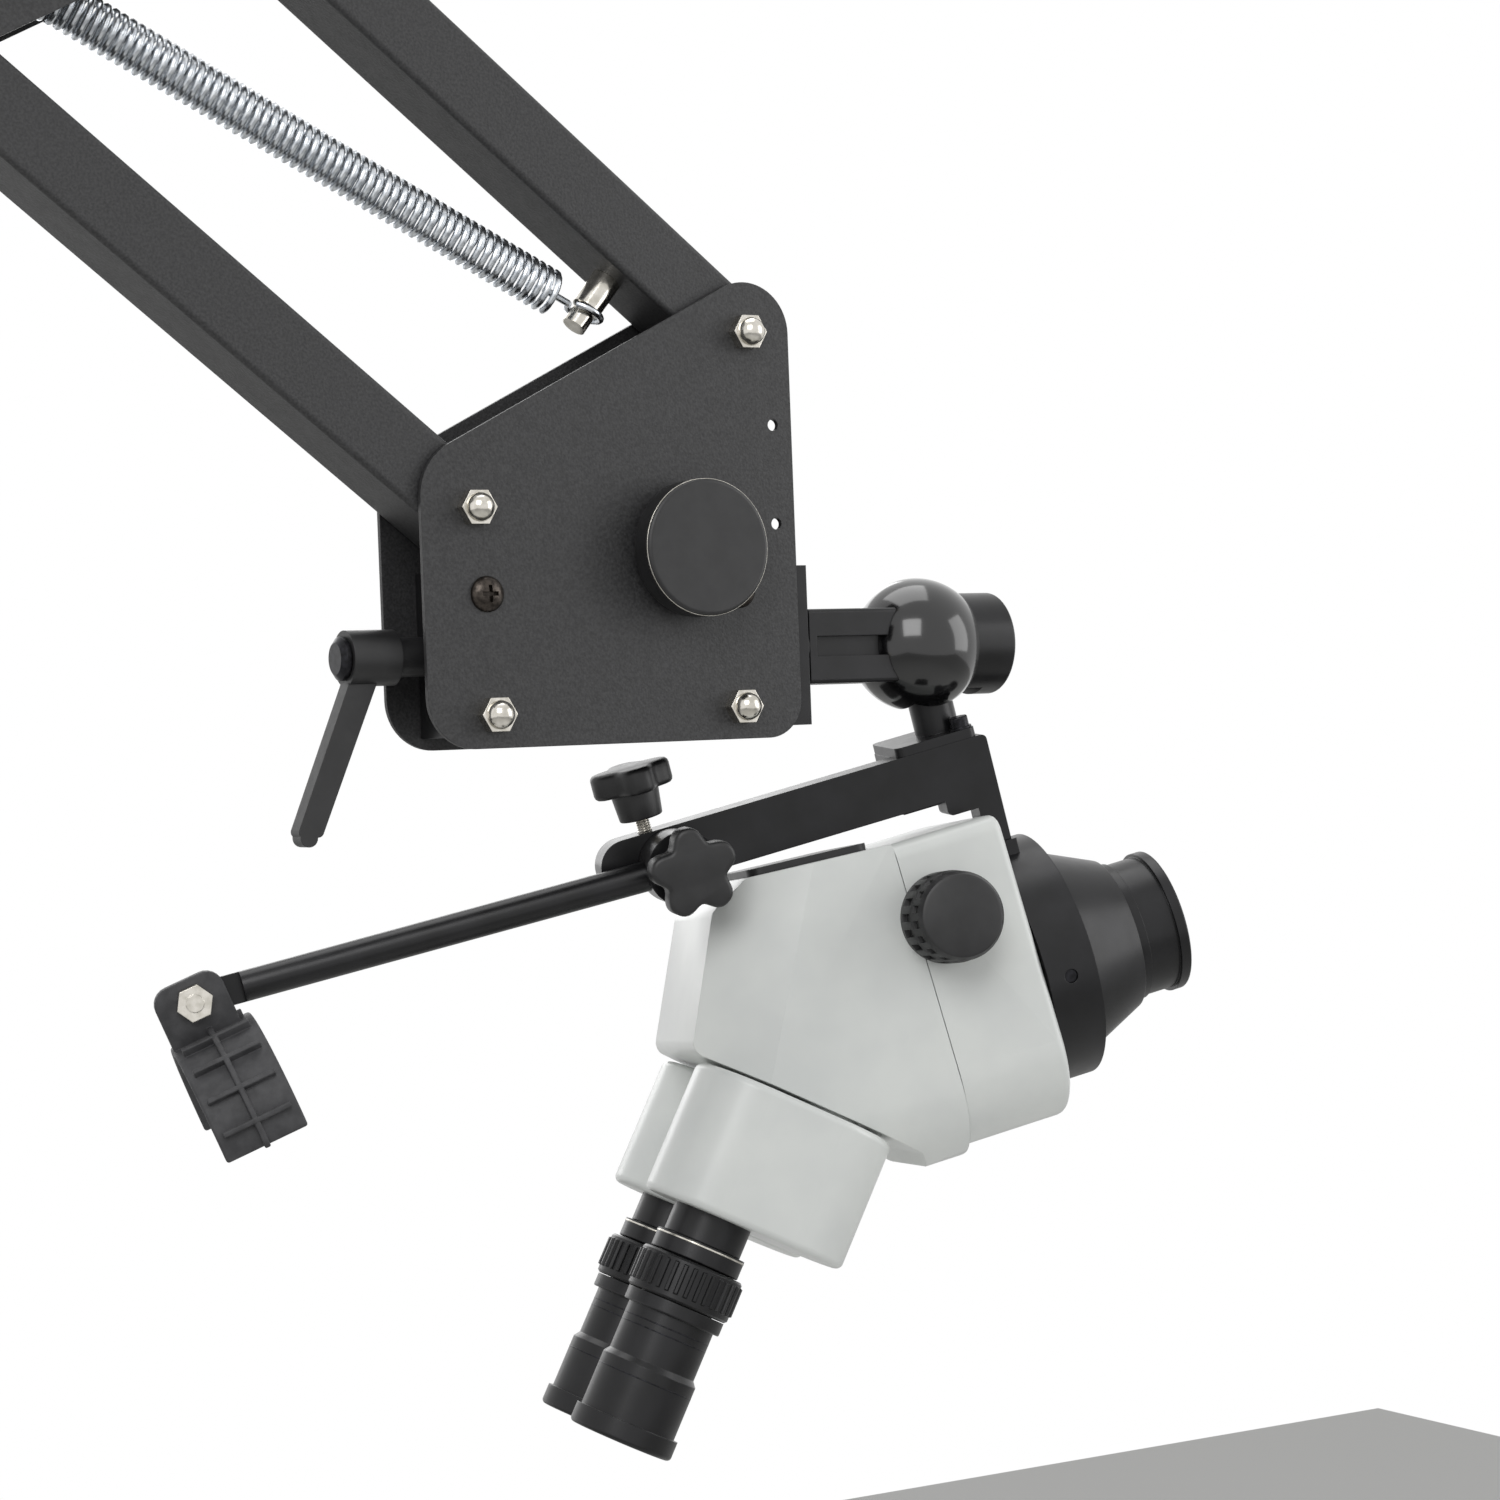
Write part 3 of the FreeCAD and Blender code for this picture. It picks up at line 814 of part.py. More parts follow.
AT_ZOOM = shifted(AT_SCOPE, "0 - knob_along", "0", "knob_up")
knob_start = f"{half} + 0.5"
shaft = cylinder("zoom_shaft_body", "zoom_shaft_radius", ("0", f"0 - ({knob_start}) - 15", "0"),
                 f"2 * ({knob_start}) + 30", "Y")
pinion = cylinder("pinion_body", "7", ("0", "0 - 4", "0"), "8", "Y")
finish(joined("zoom_shaft_joined", shaft, pinion), "zoom_shaft", AT_ZOOM)
knobs = []
for face, sense in (("near", 1), ("far", -1)):
    knob = turned(f"zoom_knob_{face}_body", (("0", "15.2"), ("zoom_shaft_radius", "15.2"), ("zoom_shaft_radius", "0"),
                                             ("zoom_knob_radius - 1.5", "0"), ("zoom_knob_radius", "1.5"),
                                             ("zoom_knob_radius", "zoom_knob_length", "2"), ("0", "zoom_knob_length")))
    knob.Placement = FreeCAD.Placement(vector("0", f"0 - {sense} * ({knob_start})"),
                                       FreeCAD.Rotation(FreeCAD.Vector(1, 0, 0), 90 * sense))
    knobs.append(knob)
finish(group("zoom_knob_pair", *knobs), "zoom_knobs", AT_ZOOM)
carriage_block = box("carriage_block", ("0 - 74", "0 - 39", "0 - 12"), ("18", "78", "24"))
carriage_arm = box("carriage_arm", ("0 - 66", "0 - 4", "11"), ("10", "8", "5"))
carriage_rack = box("carriage_rack", ("0 - 66", "0 - 4", "knob_up - 10.8"), ("51.5", "8", "3.5"))
lens_holes = [cylinder(f"carriage_lens_hole_{number}", "9", ("0 - 80", across, "0"), "30", "X")
              for number, across in enumerate(("0 - 13", "13"))]
rod_holes = [cylinder(f"carriage_rod_hole_{number}", "3 + running_gap", ("0 - 80", across, "0"), "30", "X")
             for number, across in enumerate(("0 - 34", "34"))]
carriage = cut("zoom_carriage_cut", joined("zoom_carriage_blank", carriage_block, carriage_arm, carriage_rack),
               *lens_holes, *rod_holes)
finish(group("zoom_carriage_set", carriage, cylinder("zoom_lens_near", "8.95", ("0 - 69", "0 - 13", "0"), "6", "X"),
             cylinder("zoom_lens_far", "8.95", ("0 - 69", "13", "0"), "6", "X")), "zoom_carriage", AT_SCOPE)
finish(group("zoom_rod_pair", cylinder("zoom_rod_near", "2.99", ("0 - 84", "0 - 34", "0"), "85.5", "X"),
             cylinder("zoom_rod_far", "2.99", ("0 - 84", "34", "0"), "85.5", "X")), "zoom_guide_rods", AT_SCOPE)

# Prism housings and eyepieces, near and far

def stadium(name, inset, depth):
    """A prism housing's round-ended block, or with an inset its room."""
    low = f"{inset} - prism_width / 2"
    high = f"prism_width / 2 - {inset}"
    end = f"prism_length - prism_width / 2 - {inset}"
    corner = f"prism_width / 2 - 1 - {inset}"
    body = sheet_cut(name, ((low, low, corner), (end, low, corner), (end, high, corner), (low, high, corner)), depth,
                     (), "XY_Plane")
    body.Placement = FreeCAD.Placement(vector("0", "0", "prism_start + prism_depth / 2"), FreeCAD.Rotation())
    return body


for face, sense in (("near", -1), ("far", 1)):
    across = f"{sense} * pupil_half"
    at_turn = shifted(AT_TUBES, "eye_pivot", across)
    body = stadium(f"prism_{face}_block", "0", "prism_depth")
    room = stadium(f"prism_{face}_room", wall, f"prism_depth - 2 * {wall}")
    rounded = rounded_edges(f"prism_{face}_rounded", body, "2.5",
                            lambda spot, edge: spot.z > value("prism_start + prism_depth") - 0.1
                            or spot.z < value("prism_start") + 0.1)
    journal = cylinder(f"prism_{face}_journal", "turn_journal", ("0", "0", f"{slope} - {wall} - 0.3"), f"{wall} + 2")
    entry = cylinder(f"prism_{face}_entry", "turn_journal - 2.5", ("0", "0", "60"), "30")
    exit_hole = cylinder(f"prism_{face}_exit", "sleeve_outer", ("eye_offset", "0", "prism_start + prism_depth - 5"), "10")
    housing = cut(f"prism_{face}_cut", joined(f"prism_{face}_blank", rounded, journal), room, entry, exit_hole)
    ring_inside = "turn_journal - 2.5"
    ring_outside = "turn_journal + 2.5"
    ring_low = f"{slope} - {wall} - axial_gap - 2.5"
    ring_high = f"{slope} - {wall} - axial_gap"
    retainer = turned(f"prism_{face}_ring", ((ring_inside, ring_low), (ring_outside, ring_low),
                                             (ring_outside, ring_high), (ring_inside, ring_high)))
    prism = box(f"prism_{face}_glass", ("0 - 12", "0 - 12", "prism_start + 3"), ("48", "24", "24"))
    finish(group(f"prism_{face}_set", housing, retainer, prism), f"prism_housing_{face}", at_turn)
    at_eye = shifted(at_turn, "eye_offset", "0", "prism_start + prism_depth")
    finish(turned(f"sleeve_{face}_body", (("eyepiece_tube + running_gap", "0 - 3"), ("sleeve_outer", "0 - 3"),
                                          ("sleeve_outer", "sleeve_out"), ("eyepiece_tube + running_gap", "sleeve_out"))),
           f"eyepiece_sleeve_{face}", at_eye)
    tube = turned(f"eyepiece_{face}_tube_body", (("9.6", "0 - 14"), ("eyepiece_tube", "0 - 14"),
                                                 ("eyepiece_tube", "sleeve_out + 0.3"),
                                                 ("smooth_ring_radius", "sleeve_out + 0.3"),
                                                 ("smooth_ring_radius", "smooth_ring_end", "0.6"),
                                                 ("13", "smooth_ring_end"), ("13", "knurl_end + 0.3"),
                                                 ("9.6", "knurl_end + 0.3")))
    barrel = turned(f"eyepiece_{face}_body", (("9.6", "knurl_end + 0.3"), ("step_ring_radius", "knurl_end + 0.3"),
                                              ("step_ring_radius", "step_ring_end", "0.6"),
                                              ("barrel_radius", "step_ring_end"), ("barrel_radius", "barrel_end"),
                                              ("eye_body_radius", "barrel_end + 2"),
                                              ("eye_body_radius", "eye_body_end"), ("13.9", "eye_body_end"),
                                              ("13.9", "eye_body_end - 3"), ("9.6", "eye_body_end - 3")))
    eyecup = turned(f"eyecup_{face}_body", (("12.5", "eye_body_end"), ("eye_rim_radius", "eye_body_end"),
                                            ("eye_rim_radius", "eye_end", "1.5"), ("13.5", "eye_end")))
    finish(group(f"eyepiece_{face}_set", tube, barrel, eyecup), f"eyepiece_{face}", at_eye)
    finish(turned(f"dioptre_{face}_body", (("13 + running_gap", "smooth_ring_end + 0.3"),
                                           ("knurl_radius", "smooth_ring_end + 0.3", "1"),
                                           ("knurl_radius", "knurl_end", "1"), ("13 + running_gap", "knurl_end"))),
           f"dioptre_ring_{face}", at_eye)
    finish(cylinder(f"eye_lens_{face}_body", "13.8", ("0", "0", "eye_body_end - 3"), "3"), f"eye_lens_{face}", at_eye)

# Check and export

doc.recompute()
for item in doc.Objects:
    for state in item.State:
        if state in ("Invalid", "Error"):
            raise RuntimeError(f"{item.Label} does not rebuild")
os.makedirs("parts", exist_ok=True)
for piece in FINISHED:
    if piece.Shape.isNull() or not piece.Shape.isValid():
        raise RuntimeError(f"{piece.Label} has no sound shape")
    piece.Shape.exportStep(f"parts/{piece.Label}.step")
print(len(FINISHED), "pieces")
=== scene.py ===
import json
import math

import bmesh
import bpy
from mathutils import Matrix, Vector


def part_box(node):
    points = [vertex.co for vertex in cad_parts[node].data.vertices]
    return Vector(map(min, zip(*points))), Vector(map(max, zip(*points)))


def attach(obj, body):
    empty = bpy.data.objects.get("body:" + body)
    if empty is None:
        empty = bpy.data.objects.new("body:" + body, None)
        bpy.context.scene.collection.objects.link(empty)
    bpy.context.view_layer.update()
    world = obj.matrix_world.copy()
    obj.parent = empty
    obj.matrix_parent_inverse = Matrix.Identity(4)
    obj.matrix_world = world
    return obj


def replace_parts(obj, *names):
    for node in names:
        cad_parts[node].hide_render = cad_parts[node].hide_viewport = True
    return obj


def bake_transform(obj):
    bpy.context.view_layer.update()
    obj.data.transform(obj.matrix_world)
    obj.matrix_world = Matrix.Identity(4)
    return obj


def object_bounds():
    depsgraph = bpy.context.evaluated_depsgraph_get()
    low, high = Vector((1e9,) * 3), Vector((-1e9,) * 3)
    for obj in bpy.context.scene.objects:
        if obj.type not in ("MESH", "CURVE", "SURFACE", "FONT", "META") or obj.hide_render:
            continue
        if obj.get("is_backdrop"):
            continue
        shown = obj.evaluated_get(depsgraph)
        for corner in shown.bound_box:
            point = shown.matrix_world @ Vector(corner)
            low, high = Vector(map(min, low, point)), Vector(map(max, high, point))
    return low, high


bl_info = {
    "name": "Gem-setting microscope",
    "version": (1, 0, 0),
    "blender": (4, 5, 0),
    "location": "View3D > Sidebar > Microscope",
    "description": "Finishes and fine pieces of a sprung-arm stereo microscope",
    "category": "Object",
}

MM = 0.001
Y_AXIS = Vector((0, 1, 0))

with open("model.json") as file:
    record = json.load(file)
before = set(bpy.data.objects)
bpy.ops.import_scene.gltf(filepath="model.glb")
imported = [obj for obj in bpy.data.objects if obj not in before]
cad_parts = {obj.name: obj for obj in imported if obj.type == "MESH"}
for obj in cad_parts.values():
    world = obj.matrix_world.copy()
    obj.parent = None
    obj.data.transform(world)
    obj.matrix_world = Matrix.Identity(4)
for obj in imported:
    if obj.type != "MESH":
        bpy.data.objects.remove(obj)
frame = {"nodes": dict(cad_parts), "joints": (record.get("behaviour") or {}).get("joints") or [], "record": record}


# Where the local frames lie, in millimetres and degrees
CLAMP_JOINT_NEAR = 10.0
BROW_TILT = 10.0
DIOPTRE_OUT = 24.5
HIGH_PIVOT_RIGHT = 53.3
HIGH_PIVOT_UP = 72.4
PLATE_FACE = 17.5

# Balance spring: its stud below the upper tube, and the radii of its two end loops
STUD_ALONG = 188.5
STUD_DOWN = 27.0
STUD_EYE = 6.2
ANCHOR_EYE = 5.8
EYE_SWEEP = math.radians(320)
EYE_STEPS = 32
COIL_STEPS = 20
WIRE_SIDES = 10
HOLE_SIDES = 12

# Hand knobs: steps to a lobe, how narrow the hollows are, and how deep a neck is sunk in its grip
LOBE_STEPS = 24
LOBE_SHARPNESS = 1.5
SINK = 1.0

# Star knob of the rod clamp, along its own screw
STAR_NEAR = -33.0
STAR_RADIUS = 15.5
STAR_HOLLOW = 4.4
STAR_RIM = 1.6
STAR_SEAT = 0.6
STAR_COLLAR = 3.4
STAR_TOP = 12.6
STAR_NECK = 9.0
STAR_STEPS = 32
STAR_FERRULE = (8.6, 9.8)

# Tee knob above the carrier, along its threaded stud
TEE_PLACE = (-115.0, -10.0, -35.5)
TEE_RADIUS = 14.2
TEE_HOLLOW = 4.0
TEE_RIM = 1.8
TEE_GAP = 5.0
TEE_STAND = 14.5
TEE_TOP = 23.5
TEE_NECK = (7.6, 8.6)
TEE_NECK_EDGE = 0.6
TEE_STUD = 2.6
THREAD_DEPTH = 0.35
THREAD_STEP = 0.4
THREAD_COUNT = 15
STUD_STEPS = 20

# Zoom knobs: a row of pockets from low to high, a gap, then teeth up to the crown
ZOOM_RIGHT = -26.5
ZOOM_UP = 26.4
ZOOM_SEAT = 44.0
ZOOM_TEETH = 18
ZOOM_GRIP = 16.0
ZOOM_FOOT = 1.0
ZOOM_POCKET = (3.5, 12.5, 1.2)
ZOOM_POCKET_DEPTH = 1.6
ZOOM_CROWN = (15.4, 20.5)
ZOOM_TOOTH_DEPTH = 1.2
ZOOM_SHOULDER = (14.2, 22.6)
ZOOM_CAP = (13.2, 23.0)
ZOOM_INSIDE = 14.0
ZOOM_WALL = 0.25
ZOOM_POCKET_REACH = math.cos(math.tau / 60)

# Bright rim of the tension knob: inner and outer radius, and from where to where it stands off the plate
TENSION_RIGHT = 28.0
TENSION_DROP = 1.5
TENSION_RIM = (21.9, 23.05, 13.2, 14.0)
TENSION_STEPS = 96

# Dioptre rings: inner and outer radius, and the height of a step of their rounded edges
KNURL_START = 17.3
KNURL_END = 32.0
KNURL_RADII = (13.1, 18.3, 0.8)
KNURL_FOOT = 0.7
KNURL_CROWN = 0.9
KNURL_RIDGES = 34
KNURL_INSIDE = 18.0
KNURL_BAND = 2.0
KNURL_SLOPE = 0.35
KNURL_HEIGHT = 0.75

# Lines on the eyepieces: the bright one as a ring, the turned ones as (radius, height)
SILVER_LINE = (15.5, 16.15, 10.9, 11.5)
EYEPIECE_LINES = ((15.5, 41.0), (15.5, 43.5), (17.0, 60.0))
LINE_STEPS = 64
LINE_DEPTH = 0.5
LINE_STAND = 0.04
LINE_HALF = 0.25

# Brow rest: the padded arch, its rib and gussets, and the tab for its bolt
BROW_RADIUS = 33.0
BROW_WALL = 3.5
BROW_WIDTH = 28.8
BROW_LEFT = 13.0
BROW_CROWN = 12.0
BROW_EDGE = 0.9
BROW_SWEEP = range(-96, 97, 6)
RIB_SINK = 1.0
RIB_STAND = 2.6
RIB_WIDTH = 2.0
GUSSET = (1.8, 4.0, 0.6)
GUSSET_MARGIN = 5.0
GUSSET_EDGE = 0.4
GUSSET_TURNS = range(-80, 81, 20)
TAB_LEFT = 12.6
TAB_RIGHT = 11.6
TAB_TOP = 8.0
TAB_CORNER = 6.0
TAB_SINK = 1.5
TAB_EDGE = 0.5
TAB_THICK = 4.0
TAB_FACE = -0.8

# Pan screws of the head plates; shares are of the head's radius or height
SCREW_SPREAD = 47.5
SCREW_DROP = 15.5
SCREW_HEAD = (6.0, 3.1)
SHANK_SHARE = 0.45
SHANK_LENGTH = 2.0
HEAD_STEPS = 36
RECESS_REACH = 0.95
RECESS_SLOT = 0.22
RECESS_HEIGHTS = (1.3, 1.31)
RECESS_MIDDLE = 0.95

# Shells whose edges are rounded: how much, and between which places along the microscope
ROUNDED_SHELLS = (("front_shell", 3.0, 1.0, 5.0), ("main_shell", 4.0, -300.0, -38.0))
SHELL_ANGLE = 0.45
SHELL_SEGMENTS = 4

# Angles that tell an edge or a face from its neighbours, and the distance at which corners join
RIM_ANGLE = 1.0
CORNER_ANGLE = 0.8
STEEP = 0.5
SMOOTH_ANGLE = math.radians(35)
FLAT_ANGLE = math.radians(0.5)
WELD = 1e-6


# Frames of the moving assemblies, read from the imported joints

def joint(name):
    return next(found for found in frame["joints"] if found["name"] == name)


def joint_axis(name):
    return Vector(joint(name)["axis"]).normalized()


def joint_place(name):
    return Vector(joint(name)["pos_m"])


def frame_matrix(origin, x_axis, z_axis):
    """A right-handed frame from its X and Z directions."""
    matrix = Matrix((x_axis, z_axis.cross(x_axis), z_axis)).transposed().to_4x4()
    matrix.translation = origin
    return matrix


def scope_frame():
    """Origin on the nose axis under the stem: X towards the objective, Z up through the housing."""
    forward = joint_axis("microscope_roll")
    return frame_matrix(joint_place("microscope_roll"), forward, forward.cross(joint_axis("zoom_turn")))


def stem_frame():
    """Origin in the ball: X along the carrier towards the objective, Z up the stem."""
    return frame_matrix(joint_place("stem_swivel"), joint_axis("microscope_roll"), joint_axis("stem_swivel"))


def clamp_frame():
    """Origin in the middle of the rod clamp's pivot, X along the rod, Y away from the near side."""
    along = joint_axis("brow_rod_slide")
    across = -joint_axis("rod_clamp_tilt")
    middle = joint_place("rod_clamp_tilt") + CLAMP_JOINT_NEAR * MM * across
    return frame_matrix(middle, along, along.cross(across))


def brow_frame():
    """Origin in the bolt of the brow rest, Z out of its crown."""
    matrix = clamp_frame()
    matrix.translation = joint_place("brow_rest_tilt")
    return matrix @ Matrix.Rotation(math.radians(-BROW_TILT), 4, "Y")


def eye_frame(face):
    """Origin where an eyepiece sleeve leaves its housing, Z towards the eye."""
    outward = joint_axis("eyepiece_" + face + "_slide")
    return frame_matrix(joint_place("dioptre_" + face + "_turn") - DIOPTRE_OUT * MM * outward,
                        joint_axis("zoom_turn").cross(outward), outward)


def head_place(right, near, up):
    """A place in the head plates' own sizes, in millimetres."""
    corner = joint_place("head_level") - Vector((HIGH_PIVOT_RIGHT, 0, HIGH_PIVOT_UP)) * MM
    return corner + Vector((right, near, up)) * MM


def facing(place, direction):
    """A frame at a place whose Z points that way."""
    return Matrix.Translation(place) @ Vector(direction).to_track_quat("Z", "Y").to_matrix().to_4x4()


# Settings

class MicroscopeSettings(bpy.types.PropertyGroup):
    """Sizes in millimetres that a user would change"""
    spring_radius: bpy.props.FloatProperty(
        name="Spring radius", description="Outer radius of the coil, in millimetres", default=8.0)
    spring_wire: bpy.props.FloatProperty(
        name="Spring wire", description="Thickness of the wire, in millimetres", default=2.4)
    spring_pitch: bpy.props.FloatProperty(
        name="Spring pitch", description="From one turn to the next, in millimetres", default=3.1)
    spring_hook: bpy.props.FloatProperty(
        name="Spring hook", description="Length of each end past the coil, in millimetres", default=14.0)
    bump: bpy.props.FloatProperty(
        name="Relief", description="Strength of every surface's fine relief", default=1.0, subtype="FACTOR")


def settings():
    return bpy.context.scene.microscope


# Colours and nodes

EDGE_RADIUS = 0.4
EDGE_SAMPLES = 4
NOISE_DETAIL = 3.0
DRIFT_LOW = 0.35
DRIFT_HIGH = 0.65


def srgb(code):
    """Linear colour of an sRGB hex code."""
    channels = [int(code[place:place + 2], 16) / 255 for place in (1, 3, 5)]
    return (*[c / 12.92 if c <= 0.04045 else ((c + 0.055) / 1.055) ** 2.4 for c in channels], 1.0)


def feed(tree, node, inputs):
    """Set inputs, each to a constant or to the output that feeds it."""
    for name, value in inputs.items():
        if isinstance(value, bpy.types.NodeSocket):
            tree.links.new(value, node.inputs[name])
        else:
            node.inputs[name].default_value = value


def add_node(tree, kind, inputs={}, **values):
    """Add a node with its settings and its inputs."""
    node = tree.nodes.new(kind)
    for name, value in values.items():
        setattr(node, name, value)
    feed(tree, node, inputs)
    return node


def surface(name, colour, roughness, metallic, shades, drift, grains, patches=None, shader={}):
    """A surface whose colour drifts between two shades over patches that wide.

    Each grain is the (texture, width, depth, strength) of a relief, patches are the (width, low, high)
    of its roughness, and widths and depths are in millimetres. The plain colour is for readers that
    take no patterns.
    """
    material = bpy.data.materials.new(name)
    material.use_nodes = True
    tree = material.node_tree
    principled = tree.nodes["Principled BSDF"]
    place = add_node(tree, "ShaderNodeTexCoord").outputs["Object"]

    def pattern(kind, width):
        inputs = {"Vector": place, "Scale": 1 / (width * MM)}
        if kind == "cells":
            return add_node(tree, "ShaderNodeTexVoronoi", inputs, feature="SMOOTH_F1").outputs["Distance"]
        return add_node(tree, "ShaderNodeTexNoise", {**inputs, "Detail": NOISE_DETAIL}).outputs["Fac"]

    normal = add_node(tree, "ShaderNodeBevel", {"Radius": EDGE_RADIUS * MM},
                      samples=EDGE_SAMPLES).outputs["Normal"]
    for kind, width, depth, strength in grains:
        relief = {"Height": pattern(kind, width), "Normal": normal, "Distance": depth * MM,
                  "Strength": min(1.0, strength * settings().bump)}
        normal = add_node(tree, "ShaderNodeBump", relief).outputs["Normal"]
    ramp = add_node(tree, "ShaderNodeValToRGB", {"Fac": pattern("noise", drift)})
    for element, position, shade in zip(ramp.color_ramp.elements, (DRIFT_LOW, DRIFT_HIGH), shades):
        element.position = position
        element.color = srgb(shade)
    feed(tree, principled, {"Base Color": srgb(colour), "Roughness": roughness, "Metallic": metallic,
                            "Normal": normal, **shader})
    feed(tree, principled, {"Base Color": ramp.outputs["Color"]})
    if patches:
        width, low, high = patches
        reach = add_node(tree, "ShaderNodeMapRange",
                         {"Value": pattern("noise", width), "To Min": low, "To Max": high})
        feed(tree, principled, {"Roughness": reach.outputs["Result"]})
    return material


# Finishes

def powder_coat():
    """Black powder coat: a matte leathery skin of shallow cells."""
    grains = (("cells", 0.8, 0.12, 0.6), ("noise", 0.35, 0.06, 0.5))
    return surface("black_powder_coat", "#2A2A2B", 0.55, 0.0, ("#1F1F20", "#343435"), 0.9, grains,
                   (6.0, 0.45, 0.6))


def anodised():
    """Black anodised aluminium: smooth and faintly clouded, with a soft metal gleam."""
    return surface("black_anodised_aluminium", "#18181A", 0.32, 0.35, ("#151516", "#1D1D1F"), 14.0,
                   (("noise", 0.15, 0.01, 0.4),), (5.0, 0.26, 0.38))


def gloss_black():
    """Sprayed gloss black enamel: deep, with a little orange peel in its reflections."""
    return surface("gloss_black_enamel", "#0E0E0F", 0.16, 0.0, ("#0C0C0D", "#111112"), 20.0,
                   (("noise", 2.5, 0.02, 0.3),), shader={"Coat Weight": 0.6, "Coat Roughness": 0.08})


def moulded_black():
    """Glass-filled black nylon: satin, with a fine spark-eroded grain."""
    return surface("black_moulded_plastic", "#1B1B1C", 0.42, 0.0, ("#171718", "#202021"), 8.0,
                   (("noise", 0.25, 0.03, 0.6),), (3.0, 0.36, 0.5))


def rubber():
    """Moulded black rubber: matte and greyish where the light grazes it."""
    return surface("black_rubber", "#38383A", 0.62, 0.0, ("#303032", "#414143"), 5.0,
                   (("noise", 0.4, 0.05, 0.6),), (2.0, 0.5, 0.72))


def pale_enamel():
    """Pale grey satin enamel on a casting: a soft sheen with a faint orange peel."""
    return surface("pale_grey_enamel", "#DADDDA", 0.34, 0.0, ("#D7DAD8", "#DFE2DF"), 30.0,
                   (("noise", 1.6, 0.012, 0.5),), (10.0, 0.3, 0.4),
                   {"Coat Weight": 0.25, "Coat Roughness": 0.2})


def nickel():
    """Bright nickel plate: warm mirror with light handling marks."""
    return surface("bright_nickel_plate", "#CFCBC2", 0.14, 1.0, ("#C2BEB4", "#DCD8D0"), 3.0,
                   (("noise", 1.2, 0.02, 0.3),), (1.5, 0.1, 0.24))


def zinc_wire():
    """Bright zinc plate on drawn wire: cold and slightly streaky."""
    return surface("zinc_plated_wire", "#C9CDD2", 0.22, 1.0, ("#B4B9BF", "#DADDE0"), 2.0,
                   (("noise", 0.6, 0.01, 0.4),), (4.0, 0.16, 0.32))


def black_steel():
    """Oil-blackened steel: dark metal with a dull shine."""
    return surface("blackened_steel", "#222225", 0.36, 0.8, ("#1B1B1D", "#2C2C30"), 2.0,
                   (("noise", 0.3, 0.01, 0.5),))


def bronzed():
    """Black-brown zinc plate on a screw: dark, with a warm shine."""
    return surface("bronzed_screw_plate", "#3A3531", 0.3, 0.9, ("#2E2A27", "#4A443F"), 1.5,
                   (("noise", 0.5, 0.01, 0.4),))


def coated_glass():
    """Lens glass: clear reflections, with a pale anti-reflection coating."""
    return surface("coated_lens_glass", "#DDE8E4", 0.03, 0.0, ("#C9D6D2", "#E6EEEB"), 12.0,
                   (("noise", 9.0, 0.01, 0.2),),
                   shader={"IOR": 1.6, "Coat Weight": 1.0, "Coat Roughness": 0.02})


FINISHES = {
    "black_powder_coat": powder_coat,
    "black_anodised": anodised,
    "black_gloss": gloss_black,
    "black_plastic": moulded_black,
    "black_rubber": rubber,
    "pale_enamel": pale_enamel,
    "bright_nickel": nickel,
    "zinc_spring": zinc_wire,
    "black_steel": black_steel,
    "bronzed_screw": bronzed,
    "lens_glass": coated_glass,
}
MADE = {}


def finish_of(slot):
    """The material of a slot, made once."""
    if slot not in MADE:
        MADE[slot] = FINISHES[slot]()
    return MADE[slot]


def dress(node):
    """Give a CAD node the finish of its slot."""
    thing = frame["nodes"][node]
    slot = next(row["material_slot"] for row in frame["record"]["subparts"] if row["node"] == node)
    thing.data.materials.clear()
    thing.data.materials.append(finish_of(slot))
    thing.data.polygons.foreach_set("material_index", [0] * len(thing.data.polygons))


# Mesh helpers

def piece(name, mesh, body, slot, finish=None):
    """A new piece that rides on a body and takes a slot's finish, or one of its own."""
    bmesh.ops.recalc_face_normals(mesh, faces=mesh.faces)
    data = bpy.data.meshes.new(name)
    mesh.to_mesh(data)
    mesh.free()
    data.shade_smooth()
    data.set_sharp_from_angle(angle=SMOOTH_ANGLE)
    data.materials.append(finish or finish_of(slot))
    thing = bpy.data.objects.new(name, data)
    bpy.context.scene.collection.objects.link(thing)
    if body:
        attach(thing, body)
    return thing


def moved(mesh, matrix):
    """The mesh, put where the matrix says."""
    bmesh.ops.transform(mesh, matrix=matrix, verts=mesh.verts)
    return mesh


def added(mesh, other):
    """Put another mesh's shapes into this one."""
    data = bpy.data.meshes.new("passing")
    other.to_mesh(data)
    other.free()
    mesh.from_mesh(data)
    bpy.data.meshes.remove(data)
    return mesh


def softened(mesh, width, angle=0.5, test=None, segments=3):
    """Round the outward edges that turn by more than the angle."""
    edges = [edge for edge in mesh.edges if edge.calc_face_angle(0) > angle and edge.is_convex
             and (test is None or test(edge))]
    bmesh.ops.bevel(mesh, geom=edges, offset=width * MM, segments=segments, profile=0.5, affect="EDGES",
                    material=-1, clamp_overlap=True)
    return mesh


def spun(profile, steps=48, closed=False):
    """A round shape from (radius, height) points in mm, turned about Z."""
    mesh = bmesh.new()
    spots = [mesh.verts.new((radius * MM, 0, height * MM)) for radius, height in profile]
    pairs = list(zip(spots, spots[1:] + spots[:1])) if closed else list(zip(spots, spots[1:]))
    edges = [mesh.edges.new(pair) for pair in pairs]
    bmesh.ops.spin(mesh, geom=spots + edges, cent=(0, 0, 0), axis=(0, 0, 1), dvec=(0, 0, 0),
                   angle=math.tau, steps=steps, use_merge=True)
    bmesh.ops.remove_doubles(mesh, verts=mesh.verts, dist=WELD)
    bmesh.ops.recalc_face_normals(mesh, faces=mesh.faces)
    return mesh


